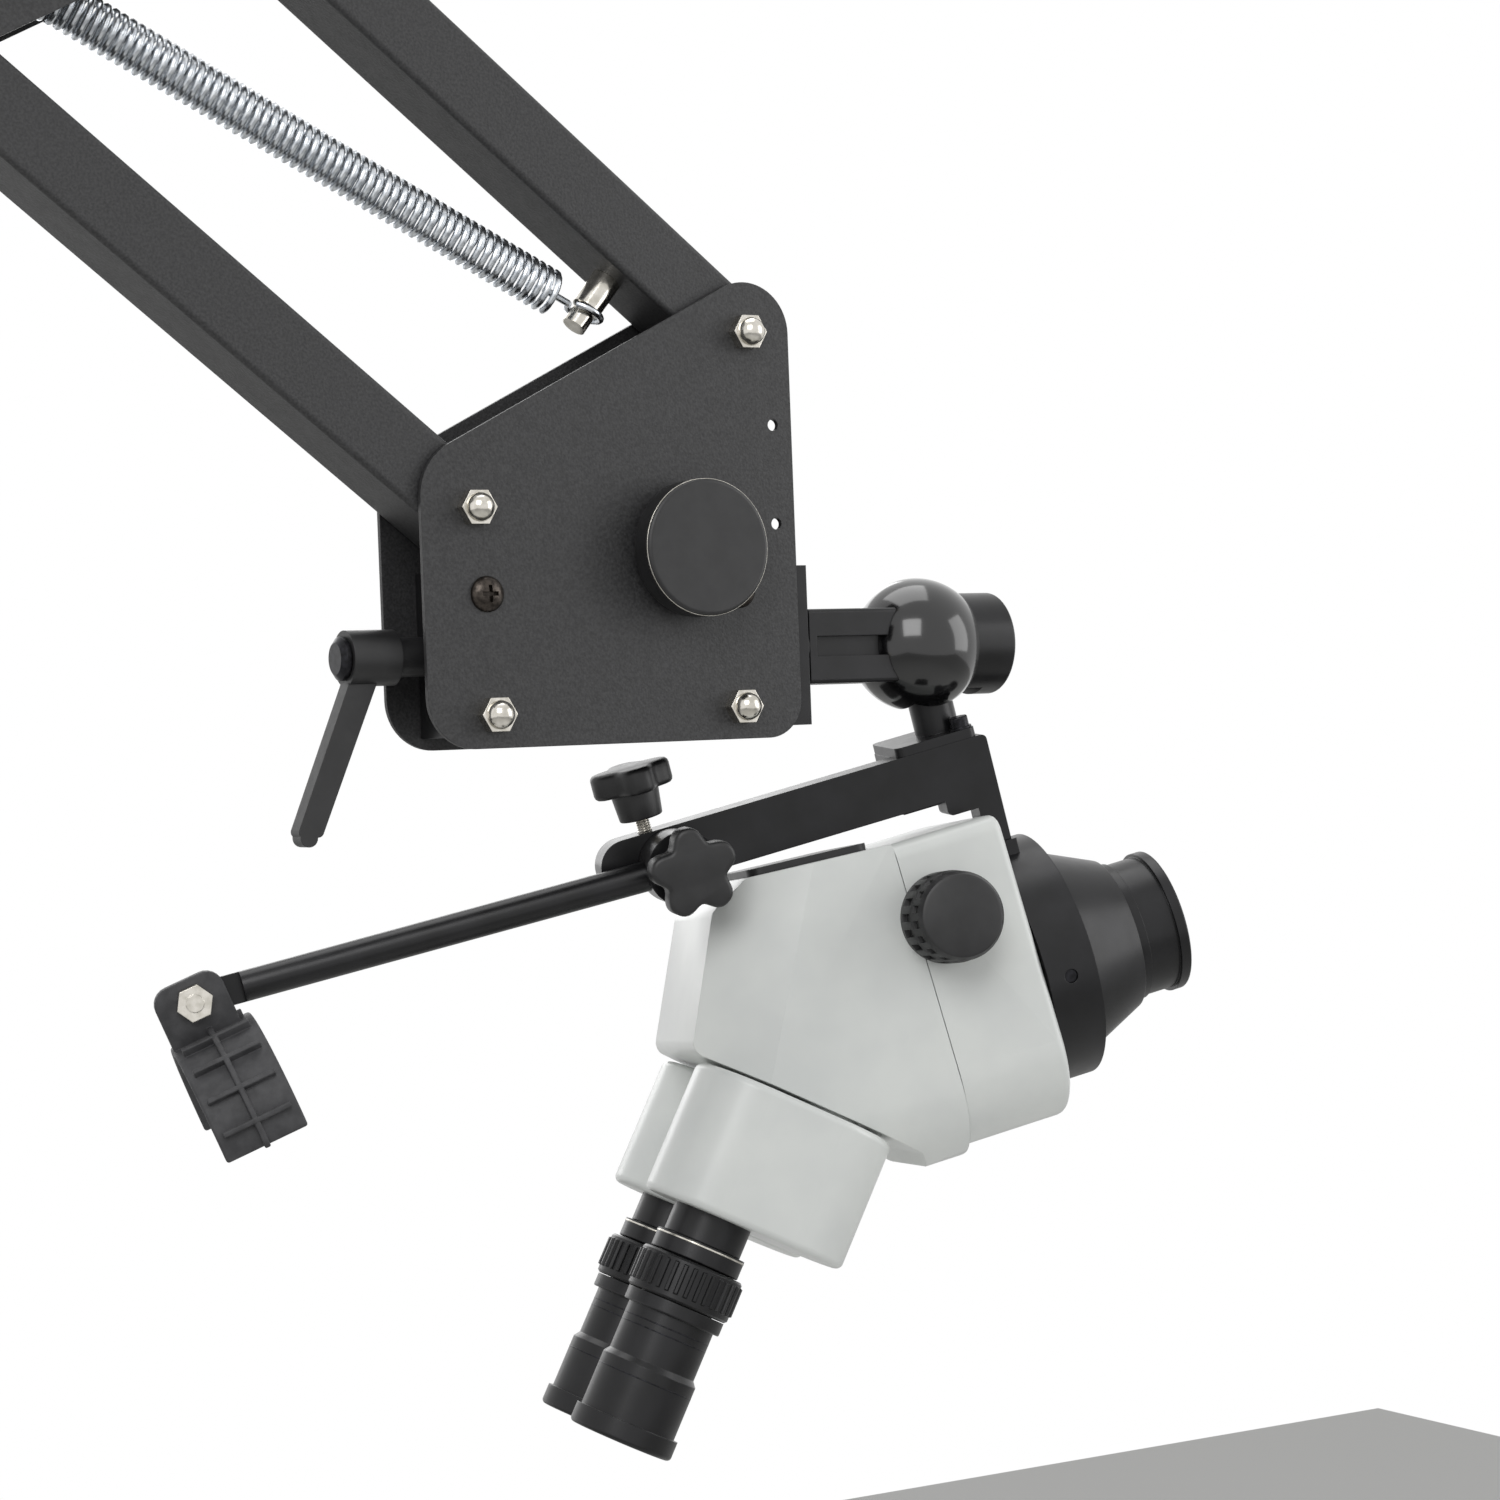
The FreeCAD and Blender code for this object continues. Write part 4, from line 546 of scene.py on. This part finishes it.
def ring(inner, outer, low, high, steps=48):
    """A plain washer."""
    return spun(((inner, low), (outer, low), (outer, high), (inner, high)), steps, True)


def block(size, centre=(0, 0, 0)):
    """A box of that size in mm about its centre."""
    mesh = bmesh.new()
    bmesh.ops.create_cube(mesh, size=1.0)
    bmesh.ops.scale(mesh, vec=Vector(size) * MM, verts=mesh.verts)
    bmesh.ops.translate(mesh, vec=Vector(centre) * MM, verts=mesh.verts)
    return mesh


def prism(sides, radius, low, high):
    """A bar with that many sides standing on Z."""
    mesh = bmesh.new()
    bmesh.ops.create_cone(mesh, cap_ends=True, segments=sides, radius1=radius * MM, radius2=radius * MM,
                          depth=(high - low) * MM)
    bmesh.ops.translate(mesh, vec=(0, 0, (high + low) / 2 * MM), verts=mesh.verts)
    return mesh


def stood_up(outline, height):
    """A flat face of (x, y) points in mm, pulled up along Z."""
    mesh = bmesh.new()
    face = mesh.faces.new([mesh.verts.new((x * MM, y * MM, 0)) for x, y in outline])
    pulled = bmesh.ops.extrude_face_region(mesh, geom=[face])
    top = [item for item in pulled["geom"] if isinstance(item, bmesh.types.BMVert)]
    bmesh.ops.translate(mesh, vec=(0, 0, height * MM), verts=top)
    bmesh.ops.recalc_face_normals(mesh, faces=mesh.faces)
    return mesh


def rolled(middle, wire):
    """The round section of a wire, to be swept."""
    mesh = bmesh.new()
    bmesh.ops.create_circle(mesh, segments=WIRE_SIDES, radius=wire / 2 * MM)
    bmesh.ops.rotate(mesh, verts=mesh.verts, cent=(0, 0, 0), matrix=Matrix.Rotation(math.pi / 2, 3, "X"))
    bmesh.ops.translate(mesh, vec=Vector(middle) * MM, verts=mesh.verts)
    return mesh


def carved(mesh, cutter):
    """The first shape less the second."""
    things = []
    for part in (mesh, cutter):
        data = bpy.data.meshes.new("passing")
        part.to_mesh(data)
        part.free()
        things.append(bpy.data.objects.new("passing", data))
        bpy.context.scene.collection.objects.link(things[-1])
    blank, tool = things
    cut = blank.modifiers.new("cut", "BOOLEAN")
    cut.object = tool
    cut.solver = "EXACT"
    bpy.context.view_layer.update()
    result = bmesh.new()
    result.from_object(blank, bpy.context.evaluated_depsgraph_get())
    for thing in things:
        data = thing.data
        bpy.data.objects.remove(thing)
        bpy.data.meshes.remove(data)
    return result


def welded(node):
    """A copy of a CAD node's surface with its corners joined and its flat faces whole."""
    mesh = bmesh.new()
    mesh.from_mesh(frame["nodes"][node].data)
    bmesh.ops.remove_doubles(mesh, verts=mesh.verts, dist=WELD)
    bmesh.ops.dissolve_limit(mesh, angle_limit=FLAT_ANGLE, verts=mesh.verts, edges=mesh.edges)
    return mesh


def lobed(lobes, radius, hollow, low, high, round_edge):
    """A hand knob's grip: a disc whose rim waves in and out that many times."""
    steps = lobes * LOBE_STEPS
    outline = []
    for number in range(steps):
        angle = math.tau * number / steps
        dip = (0.5 - 0.5 * math.cos(lobes * angle)) ** LOBE_SHARPNESS
        reach = radius - hollow * dip
        outline.append((-reach * math.sin(angle), reach * math.cos(angle)))
    mesh = moved(stood_up(outline, high - low), Matrix.Translation((0, 0, low * MM)))
    return softened(mesh, round_edge, RIM_ANGLE)


# Operators: one for each group of pieces

class MICROSCOPE_OT_finish(bpy.types.Operator):
    """Give every CAD node its finish"""
    bl_idname = "microscope.finish"
    bl_label = "Finish the parts"

    def execute(self, context):
        for node in frame["nodes"]:
            dress(node)
        return {"FINISHED"}


class MICROSCOPE_OT_spring(bpy.types.Operator):
    """Wind the balance spring between its pin and its stud"""
    bl_idname = "microscope.spring"
    bl_label = "Balance spring"

    def execute(self, context):
        sizes = settings()
        low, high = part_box("spring_anchor_pin")
        anchor = (low + high) / 2
        slope = (joint_place("head_level") - joint_place("upper_arm_pivot")).normalized()
        up = slope.cross(Y_AXIS)
        stud = joint_place("upper_arm_pivot") + (slope * STUD_ALONG - up * STUD_DOWN) * MM
        span = (stud - anchor).length / MM
        coil = span - 2 * sizes.spring_hook
        turns = round(coil / sizes.spring_pitch)
        mesh = rolled((sizes.spring_radius - sizes.spring_wire / 2, 0, 0), sizes.spring_wire)
        steps = turns * COIL_STEPS
        bmesh.ops.spin(mesh, geom=mesh.verts[:] + mesh.edges[:], cent=(0, 0, 0), axis=(0, 0, 1),
                       dvec=(0, 0, coil / steps * MM), angle=math.tau * turns, steps=steps)
        bmesh.ops.holes_fill(mesh, edges=mesh.edges, sides=HOLE_SIDES)
        bmesh.ops.translate(mesh, vec=(0, 0, sizes.spring_hook * MM), verts=mesh.verts)
        for start, sense, reach in ((0, 1, ANCHOR_EYE), (span, -1, STUD_EYE)):
            eye = rolled((reach, 0, 0), sizes.spring_wire)
            bmesh.ops.spin(eye, geom=eye.verts[:] + eye.edges[:], cent=(0, 0, 0), axis=(0, 0, 1),
                           dvec=(0, 0, 0), angle=EYE_SWEEP, steps=EYE_STEPS)
            bmesh.ops.holes_fill(eye, edges=eye.edges, sides=HOLE_SIDES)
            shank = sizes.spring_hook - reach + sizes.spring_wire
            bar = prism(WIRE_SIDES, sizes.spring_wire / 2, reach, reach + shank)
            added(eye, moved(bar, Matrix.Rotation(math.pi / 2, 4, "Y")))
            upright = Matrix.Rotation(-math.pi / 2 * sense, 4, "Y")
            if sense > 0:
                upright = upright @ Matrix.Rotation(math.pi / 2, 4, "X")
            moved(eye, Matrix.Translation((0, 0, start * MM)) @ upright)
            added(mesh, eye)
        along = (stud - anchor).normalized()
        moved(mesh, frame_matrix(anchor, Y_AXIS.cross(along), along))
        spring = piece("wound_balance_spring", mesh, None, "zinc_spring")
        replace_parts(spring, "balance_spring")
        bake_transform(spring)
        return {"FINISHED"}


class MICROSCOPE_OT_knobs(bpy.types.Operator):
    """Shape the hand knobs"""
    bl_idname = "microscope.knobs"
    bl_label = "Hand knobs"

    def execute(self, context):
        star = lobed(5, STAR_RADIUS, STAR_HOLLOW, STAR_COLLAR, STAR_TOP, STAR_RIM)
        added(star, prism(STAR_STEPS, STAR_NECK, STAR_SEAT, STAR_COLLAR + SINK))
        place = clamp_frame() @ Matrix.Translation((0, STAR_NEAR * MM, 0))
        place = place @ Matrix.Rotation(math.pi / 2, 4, "X")
        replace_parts(piece("star_grip", moved(star, place), "star_knob", "black_plastic"), "star_knob")
        ferrule = moved(ring(*STAR_FERRULE, STAR_SEAT, STAR_COLLAR), place)
        piece("star_ferrule", ferrule, "star_knob", "bright_nickel")

        tee = lobed(4, TEE_RADIUS, TEE_HOLLOW, TEE_STAND, TEE_TOP, TEE_RIM)
        low, high = TEE_NECK
        neck = spun(((0, TEE_GAP), (low, TEE_GAP), (high, TEE_STAND + SINK), (0, TEE_STAND + SINK)))
        added(tee, softened(neck, TEE_NECK_EDGE))
        place = stem_frame() @ Matrix.Translation(Vector(TEE_PLACE) * MM)
        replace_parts(piece("tee_grip", moved(tee, place), "tee_knob", "black_plastic"), "tee_knob")
        thread = [(TEE_STUD - THREAD_DEPTH * (number % 2), THREAD_STEP * (number - THREAD_COUNT))
                  for number in range(2 * THREAD_COUNT + 1)]
        half = THREAD_STEP * THREAD_COUNT
        stud = spun(((0, -half), *thread, (0, half)), STUD_STEPS)
        piece("tee_stud", moved(stud, place), "tee_knob", "bright_nickel")

        for side, sense in (("near", 1), ("far", -1)):
            centre = Vector((ZOOM_RIGHT, -sense * ZOOM_SEAT, ZOOM_UP)) * MM
            place = scope_frame() @ Matrix.Translation(centre) @ Matrix.Rotation(math.pi / 2 * sense, 4, "X")
            grip = piece(side + "_zoom_grip", moved(zoom_knob(), place), "zoom_knobs", "black_plastic")
            if side == "near":
                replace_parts(grip, "zoom_knobs")

        face = head_place(TENSION_RIGHT, -PLATE_FACE, -TENSION_DROP)
        rim = ring(*TENSION_RIM, TENSION_STEPS)
        piece("tension_knob_rim", moved(rim, facing(face, (0, -1, 0))), "tension_knob", "bright_nickel")
        return {"FINISHED"}


def zoom_knob():
    """A grip of square pockets behind a row of short teeth."""
    low, high, gap = ZOOM_POCKET
    crown, crown_top = ZOOM_CROWN
    profile = ((0, 0), (ZOOM_GRIP - ZOOM_FOOT, 0), (ZOOM_GRIP, ZOOM_FOOT), (ZOOM_GRIP, low),
               (ZOOM_GRIP, high), (crown, high + gap), (crown, crown_top), ZOOM_SHOULDER, ZOOM_CAP,
               (0, ZOOM_CAP[1]))
    mesh = spun(profile, 4 * ZOOM_TEETH)
    rows = ((low, high, 0, ZOOM_POCKET_DEPTH), (high + gap, crown_top, 2, ZOOM_TOOTH_DEPTH))
    for bottom, top, shift, depth in rows:
        for tooth in range(ZOOM_TEETH):
            middle = math.tau * (4 * tooth + shift + 1) / (4 * ZOOM_TEETH)
            spot = Vector((math.cos(middle), math.sin(middle)))
            chosen = [face for face in band_of(mesh, bottom, top, ZOOM_INSIDE)
                      if face.calc_center_median().xy.normalized().dot(spot) > ZOOM_POCKET_REACH]
            if chosen:
                bmesh.ops.inset_region(mesh, faces=chosen, thickness=ZOOM_WALL * MM, depth=-depth * MM,
                                       use_even_offset=True)
    return mesh


def band_of(mesh, low, high, radius):
    """The outward faces of a round shape whose middles lie between two heights."""
    return [face for face in mesh.faces
            if low * MM < face.calc_center_median().z < high * MM and abs(face.normal.z) < STEEP
            and face.calc_center_median().xy.length > radius * MM]


class MICROSCOPE_OT_eyepieces(bpy.types.Operator):
    """Raise the dioptre rings' ridges and add the fine lines of the eyepieces"""
    bl_idname = "microscope.eyepieces"
    bl_label = "Eyepieces"

    def execute(self, context):
        inner, outer, edge = KNURL_RADII
        middle = (KNURL_START + KNURL_END) / 2
        profile = ((inner, KNURL_START), (outer - KNURL_FOOT, KNURL_START), (outer, KNURL_START + edge),
                   (outer, KNURL_START + 2 * edge), (outer, KNURL_END - 3 * edge), (outer, KNURL_END - edge),
                   (outer - KNURL_CROWN, KNURL_END), (inner, KNURL_END))
        for side in ("near", "far"):
            place = eye_frame(side)
            knurl = spun(profile, 2 * KNURL_RIDGES, True)
            band = band_of(knurl, middle - KNURL_BAND, middle + KNURL_BAND, KNURL_INSIDE)
            band.sort(key=around)
            bmesh.ops.inset_individual(knurl, faces=band[::2], thickness=KNURL_SLOPE * MM,
                                       depth=KNURL_HEIGHT * MM, use_even_offset=True)
            grip = piece("dioptre_knurl_" + side, moved(knurl, place), "dioptre_" + side, "black_anodised")
            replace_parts(grip, "dioptre_ring_" + side)
            silver = moved(ring(*SILVER_LINE, LINE_STEPS), place)
            piece("silver_line_" + side, silver, "eyepiece_" + side, "bright_nickel")
            for number, (radius, height) in enumerate(EYEPIECE_LINES):
                line = ring(radius - LINE_DEPTH, radius + LINE_STAND, height - LINE_HALF, height + LINE_HALF,
                            LINE_STEPS)
                piece(f"turned_line_{side}_{number}", moved(line, place), "eyepiece_" + side, "black_steel")
        return {"FINISHED"}


def around(face):
    """Angle of a face round Z."""
    middle = face.calc_center_median()
    return math.atan2(middle.y, middle.x)


class MICROSCOPE_OT_brow_rest(bpy.types.Operator):
    """Shape the ribbed brow rest"""
    bl_idname = "microscope.brow_rest"
    bl_label = "Brow rest"

    def execute(self, context):
        arch = softened(stood_up(arc_band(BROW_RADIUS - BROW_WALL, BROW_RADIUS), BROW_WIDTH),
                        BROW_EDGE, CORNER_ANGLE)
        rib = softened(stood_up(arc_band(BROW_RADIUS - RIB_SINK, BROW_RADIUS + RIB_STAND), RIB_WIDTH),
                       TAB_EDGE, CORNER_ANGLE)
        added(arch, moved(rib, Matrix.Translation((0, 0, BROW_LEFT * MM))))
        width, depth, middle = GUSSET
        for angle in GUSSET_TURNS:
            length = BROW_WIDTH - GUSSET_MARGIN
            gusset = block((width, depth, length), (0, BROW_RADIUS + middle, BROW_WIDTH / 2))
            added(arch, moved(softened(gusset, GUSSET_EDGE), Matrix.Rotation(math.radians(angle), 4, "Z")))
        turn = Matrix(((0, 0, 1), (1, 0, 0), (0, 1, 0))).to_4x4()
        lift = Matrix.Translation(Vector((-BROW_LEFT, 0, -BROW_CROWN - BROW_RADIUS)) * MM)
        moved(arch, lift @ turn)
        added(arch, brow_tab())
        rest = piece("ribbed_brow_rest", moved(arch, brow_frame()), "brow_rest", "black_rubber")
        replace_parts(rest, "brow_rest")
        return {"FINISHED"}


def arc_band(inner, outer):
    """The outline of a band bent over Z, open below."""
    arc = [math.radians(step) for step in BROW_SWEEP]
    return ([(outer * math.sin(turn), outer * math.cos(turn)) for turn in arc]
            + [(inner * math.sin(turn), inner * math.cos(turn)) for turn in reversed(arc)])


def brow_tab():
    """The upright tab that the bolt goes through, with its two top corners round."""
    foot = -BROW_CROWN - TAB_SINK
    outline = [(-TAB_LEFT, foot)]
    for middle, start in ((-TAB_LEFT + TAB_CORNER, 180), (TAB_RIGHT - TAB_CORNER, 90)):
        for step in range(0, 91, 15):
            angle = math.radians(start - step)
            outline.append((middle + TAB_CORNER * math.cos(angle),
                            TAB_TOP - TAB_CORNER + TAB_CORNER * math.sin(angle)))
    outline.append((TAB_RIGHT, foot))
    tab = softened(stood_up(outline, TAB_THICK), TAB_EDGE, CORNER_ANGLE)
    return moved(tab, Matrix.Translation((0, TAB_FACE * MM, 0)) @ Matrix.Rotation(math.pi / 2, 4, "X"))


class MICROSCOPE_OT_fasteners(bpy.types.Operator):
    """Make the cross-slotted screws of the head plates"""
    bl_idname = "microscope.fasteners"
    bl_label = "Small screws"

    def execute(self, context):
        heads = bmesh.new()
        for sense in (1, -1):
            for across in (-SCREW_SPREAD, SCREW_SPREAD):
                place = head_place(across, -sense * PLATE_FACE, -SCREW_DROP)
                added(heads, moved(cross_head(*SCREW_HEAD), facing(place, (0, -sense, 0))))
        screws = piece("pan_screws", heads, "head", "black_steel", finish_of("bronzed_screw"))
        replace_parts(screws, "head_plate_screws")
        return {"FINISHED"}


def cross_head(radius, height):
    """A domed screw head on Z, with its shank's start and a cross recess."""
    dome = [(radius * math.cos(math.radians(turn)), height * math.sin(math.radians(turn)))
            for turn in range(0, 90, 10)]
    shank = radius * SHANK_SHARE
    head = spun(((0, -SHANK_LENGTH), (shank, -SHANK_LENGTH), (shank, 0), *dome, (0, height)), HEAD_STEPS)
    reach = radius * RECESS_REACH
    slot = radius * RECESS_SLOT
    first, second = RECESS_HEIGHTS
    for size in ((reach, slot, height * first), (slot, reach, height * second)):
        head = carved(head, block(size, (0, 0, height * RECESS_MIDDLE)))
    if not head.faces:
        raise RuntimeError("The screw head came out empty.")
    return head


class MICROSCOPE_OT_housing(bpy.types.Operator):
    """Round the casting's edges"""
    bl_idname = "microscope.housing"
    bl_label = "Housing"

    def execute(self, context):
        inside = scope_frame().inverted()
        for node, width, low, high in ROUNDED_SHELLS:

            def outer(edge):
                middle = inside @ ((edge.verts[0].co + edge.verts[1].co) / 2)
                return low * MM < middle.x < high * MM

            mesh = softened(welded(node), width, SHELL_ANGLE, outer, SHELL_SEGMENTS)
            shell = piece("soft_" + node, mesh, "microscope", "pale_enamel")
            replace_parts(shell, node)
        return {"FINISHED"}


class MICROSCOPE_OT_stage(bpy.types.Operator):
    """Set the floor, the light and the camera"""
    bl_idname = "microscope.stage"
    bl_label = "Studio"

    def execute(self, context):
        scene = context.scene
        scene.view_settings.view_transform = "Standard"
        make_world(scene)
        make_floor()
        make_lights()
        make_camera(scene)
        return {"FINISHED"}


# Studio

WORLD_STRENGTH = 0.38
FLOOR_DROP = 0.95
FLOOR_SIZE = 7.0
LIGHTS = (
    ("key_softbox", (-0.9, -1.3, 0.9), (1.0, 1.0), 13),
    ("right_softbox", (1.3, -0.9, 0.3), (0.8, 1.2), 7),
    ("top_softbox", (0.1, 0.3, 1.5), (1.2, 1.2), 9),
    ("back_softbox", (0.3, 1.6, 0.4), (1.2, 1.0), 6),
)


def make_world(scene):
    """Even light on the object, and plain white where the camera, metal or glass sees past it."""
    world = bpy.data.worlds.new("studio")
    scene.world = world
    world.use_nodes = True
    tree = world.node_tree
    lit = tree.nodes["Background"]
    feed(tree, lit, {"Color": srgb("#FFFFFF"), "Strength": WORLD_STRENGTH})
    white = add_node(tree, "ShaderNodeBackground", {"Color": srgb("#FFFFFF"), "Strength": 1.0})
    rays = add_node(tree, "ShaderNodeLightPath").outputs
    seen = add_node(tree, "ShaderNodeMath", {0: rays["Is Camera Ray"], 1: rays["Is Glossy Ray"]},
                    operation="ADD").outputs["Value"]
    through = add_node(tree, "ShaderNodeMath", {0: seen, 1: rays["Is Transmission Ray"]},
                       operation="ADD", use_clamp=True).outputs["Value"]
    mix = add_node(tree, "ShaderNodeMixShader", {"Fac": through, 1: lit.outputs["Background"],
                                                 2: white.outputs["Background"]})
    feed(tree, tree.nodes["World Output"], {"Surface": mix.outputs["Shader"]})


def make_floor():
    """A pale floor far below the object that keeps its shadow."""
    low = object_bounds()[0]
    mesh = bmesh.new()
    bmesh.ops.create_grid(mesh, x_segments=1, y_segments=1, size=FLOOR_SIZE / 2)
    bmesh.ops.translate(mesh, verts=mesh.verts, vec=(0, 0, low[2] - FLOOR_DROP))
    data = bpy.data.meshes.new("floor")
    mesh.to_mesh(data)
    mesh.free()
    floor = bpy.data.objects.new("floor", data)
    bpy.context.scene.collection.objects.link(floor)
    floor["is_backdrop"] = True
    material = bpy.data.materials.new("pale_floor")
    material.use_nodes = True
    tree = material.node_tree
    feed(tree, tree.nodes["Principled BSDF"], {"Base Color": srgb("#F2F2F0"), "Roughness": 0.9})
    data.materials.append(material)


def make_lights():
    """Soft boxes round the object, each turned to its middle."""
    low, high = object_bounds()
    middle = (Vector(low) + Vector(high)) / 2
    for name, away, size, watts in LIGHTS:
        data = bpy.data.lights.new(name, "AREA")
        data.shape = "RECTANGLE"
        data.size, data.size_y = size
        data.energy = watts
        light = bpy.data.objects.new(name, data)
        bpy.context.scene.collection.objects.link(light)
        light.location = middle + Vector(away)
        light.rotation_euler = (-Vector(away)).to_track_quat("-Z", "Y").to_euler()


CAMERA_PLACE = Vector((-304.45, -1021.1, -350.46)) * MM
CAMERA_RIGHT = Vector((0.865, -0.5, -0.038))
CAMERA_UP = Vector((0.036, -0.014, 0.999))
SENSOR_MM = 36.0
IMAGE_PIXELS = 1500
FOCAL_PIXELS = 3400


def make_camera(scene):
    data = bpy.data.cameras.new("camera")
    data.sensor_width = SENSOR_MM
    data.lens = SENSOR_MM * FOCAL_PIXELS / IMAGE_PIXELS
    data.clip_start = 0.05
    camera = bpy.data.objects.new("camera", data)
    scene.collection.objects.link(camera)
    right = CAMERA_RIGHT.normalized()
    up = (CAMERA_UP - right * CAMERA_UP.dot(right)).normalized()
    turn = Matrix((right, up, right.cross(up))).transposed().to_4x4()
    camera.matrix_world = Matrix.Translation(CAMERA_PLACE) @ turn
    scene.camera = camera


class MICROSCOPE_PT_panel(bpy.types.Panel):
    """Buttons for each group of pieces"""
    bl_label = "Microscope"
    bl_space_type = "VIEW_3D"
    bl_region_type = "UI"
    bl_category = "Microscope"

    def draw(self, context):
        for operator in OPERATORS:
            self.layout.operator(operator.bl_idname)


OPERATORS = (MICROSCOPE_OT_finish, MICROSCOPE_OT_spring, MICROSCOPE_OT_knobs, MICROSCOPE_OT_eyepieces,
             MICROSCOPE_OT_brow_rest, MICROSCOPE_OT_fasteners, MICROSCOPE_OT_housing, MICROSCOPE_OT_stage)
CLASSES = (MicroscopeSettings, *OPERATORS, MICROSCOPE_PT_panel)


def register():
    for item in CLASSES:
        bpy.utils.register_class(item)
    bpy.types.Scene.microscope = bpy.props.PointerProperty(type=MicroscopeSettings)


def unregister():
    del bpy.types.Scene.microscope
    for item in reversed(CLASSES):
        bpy.utils.unregister_class(item)


def main():
    register()
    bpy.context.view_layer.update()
    for name in ("finish", "spring", "knobs", "eyepieces", "brow_rest", "fasteners", "housing", "stage"):
        getattr(bpy.ops.microscope, name)()


if __name__ == "__main__":
    main()
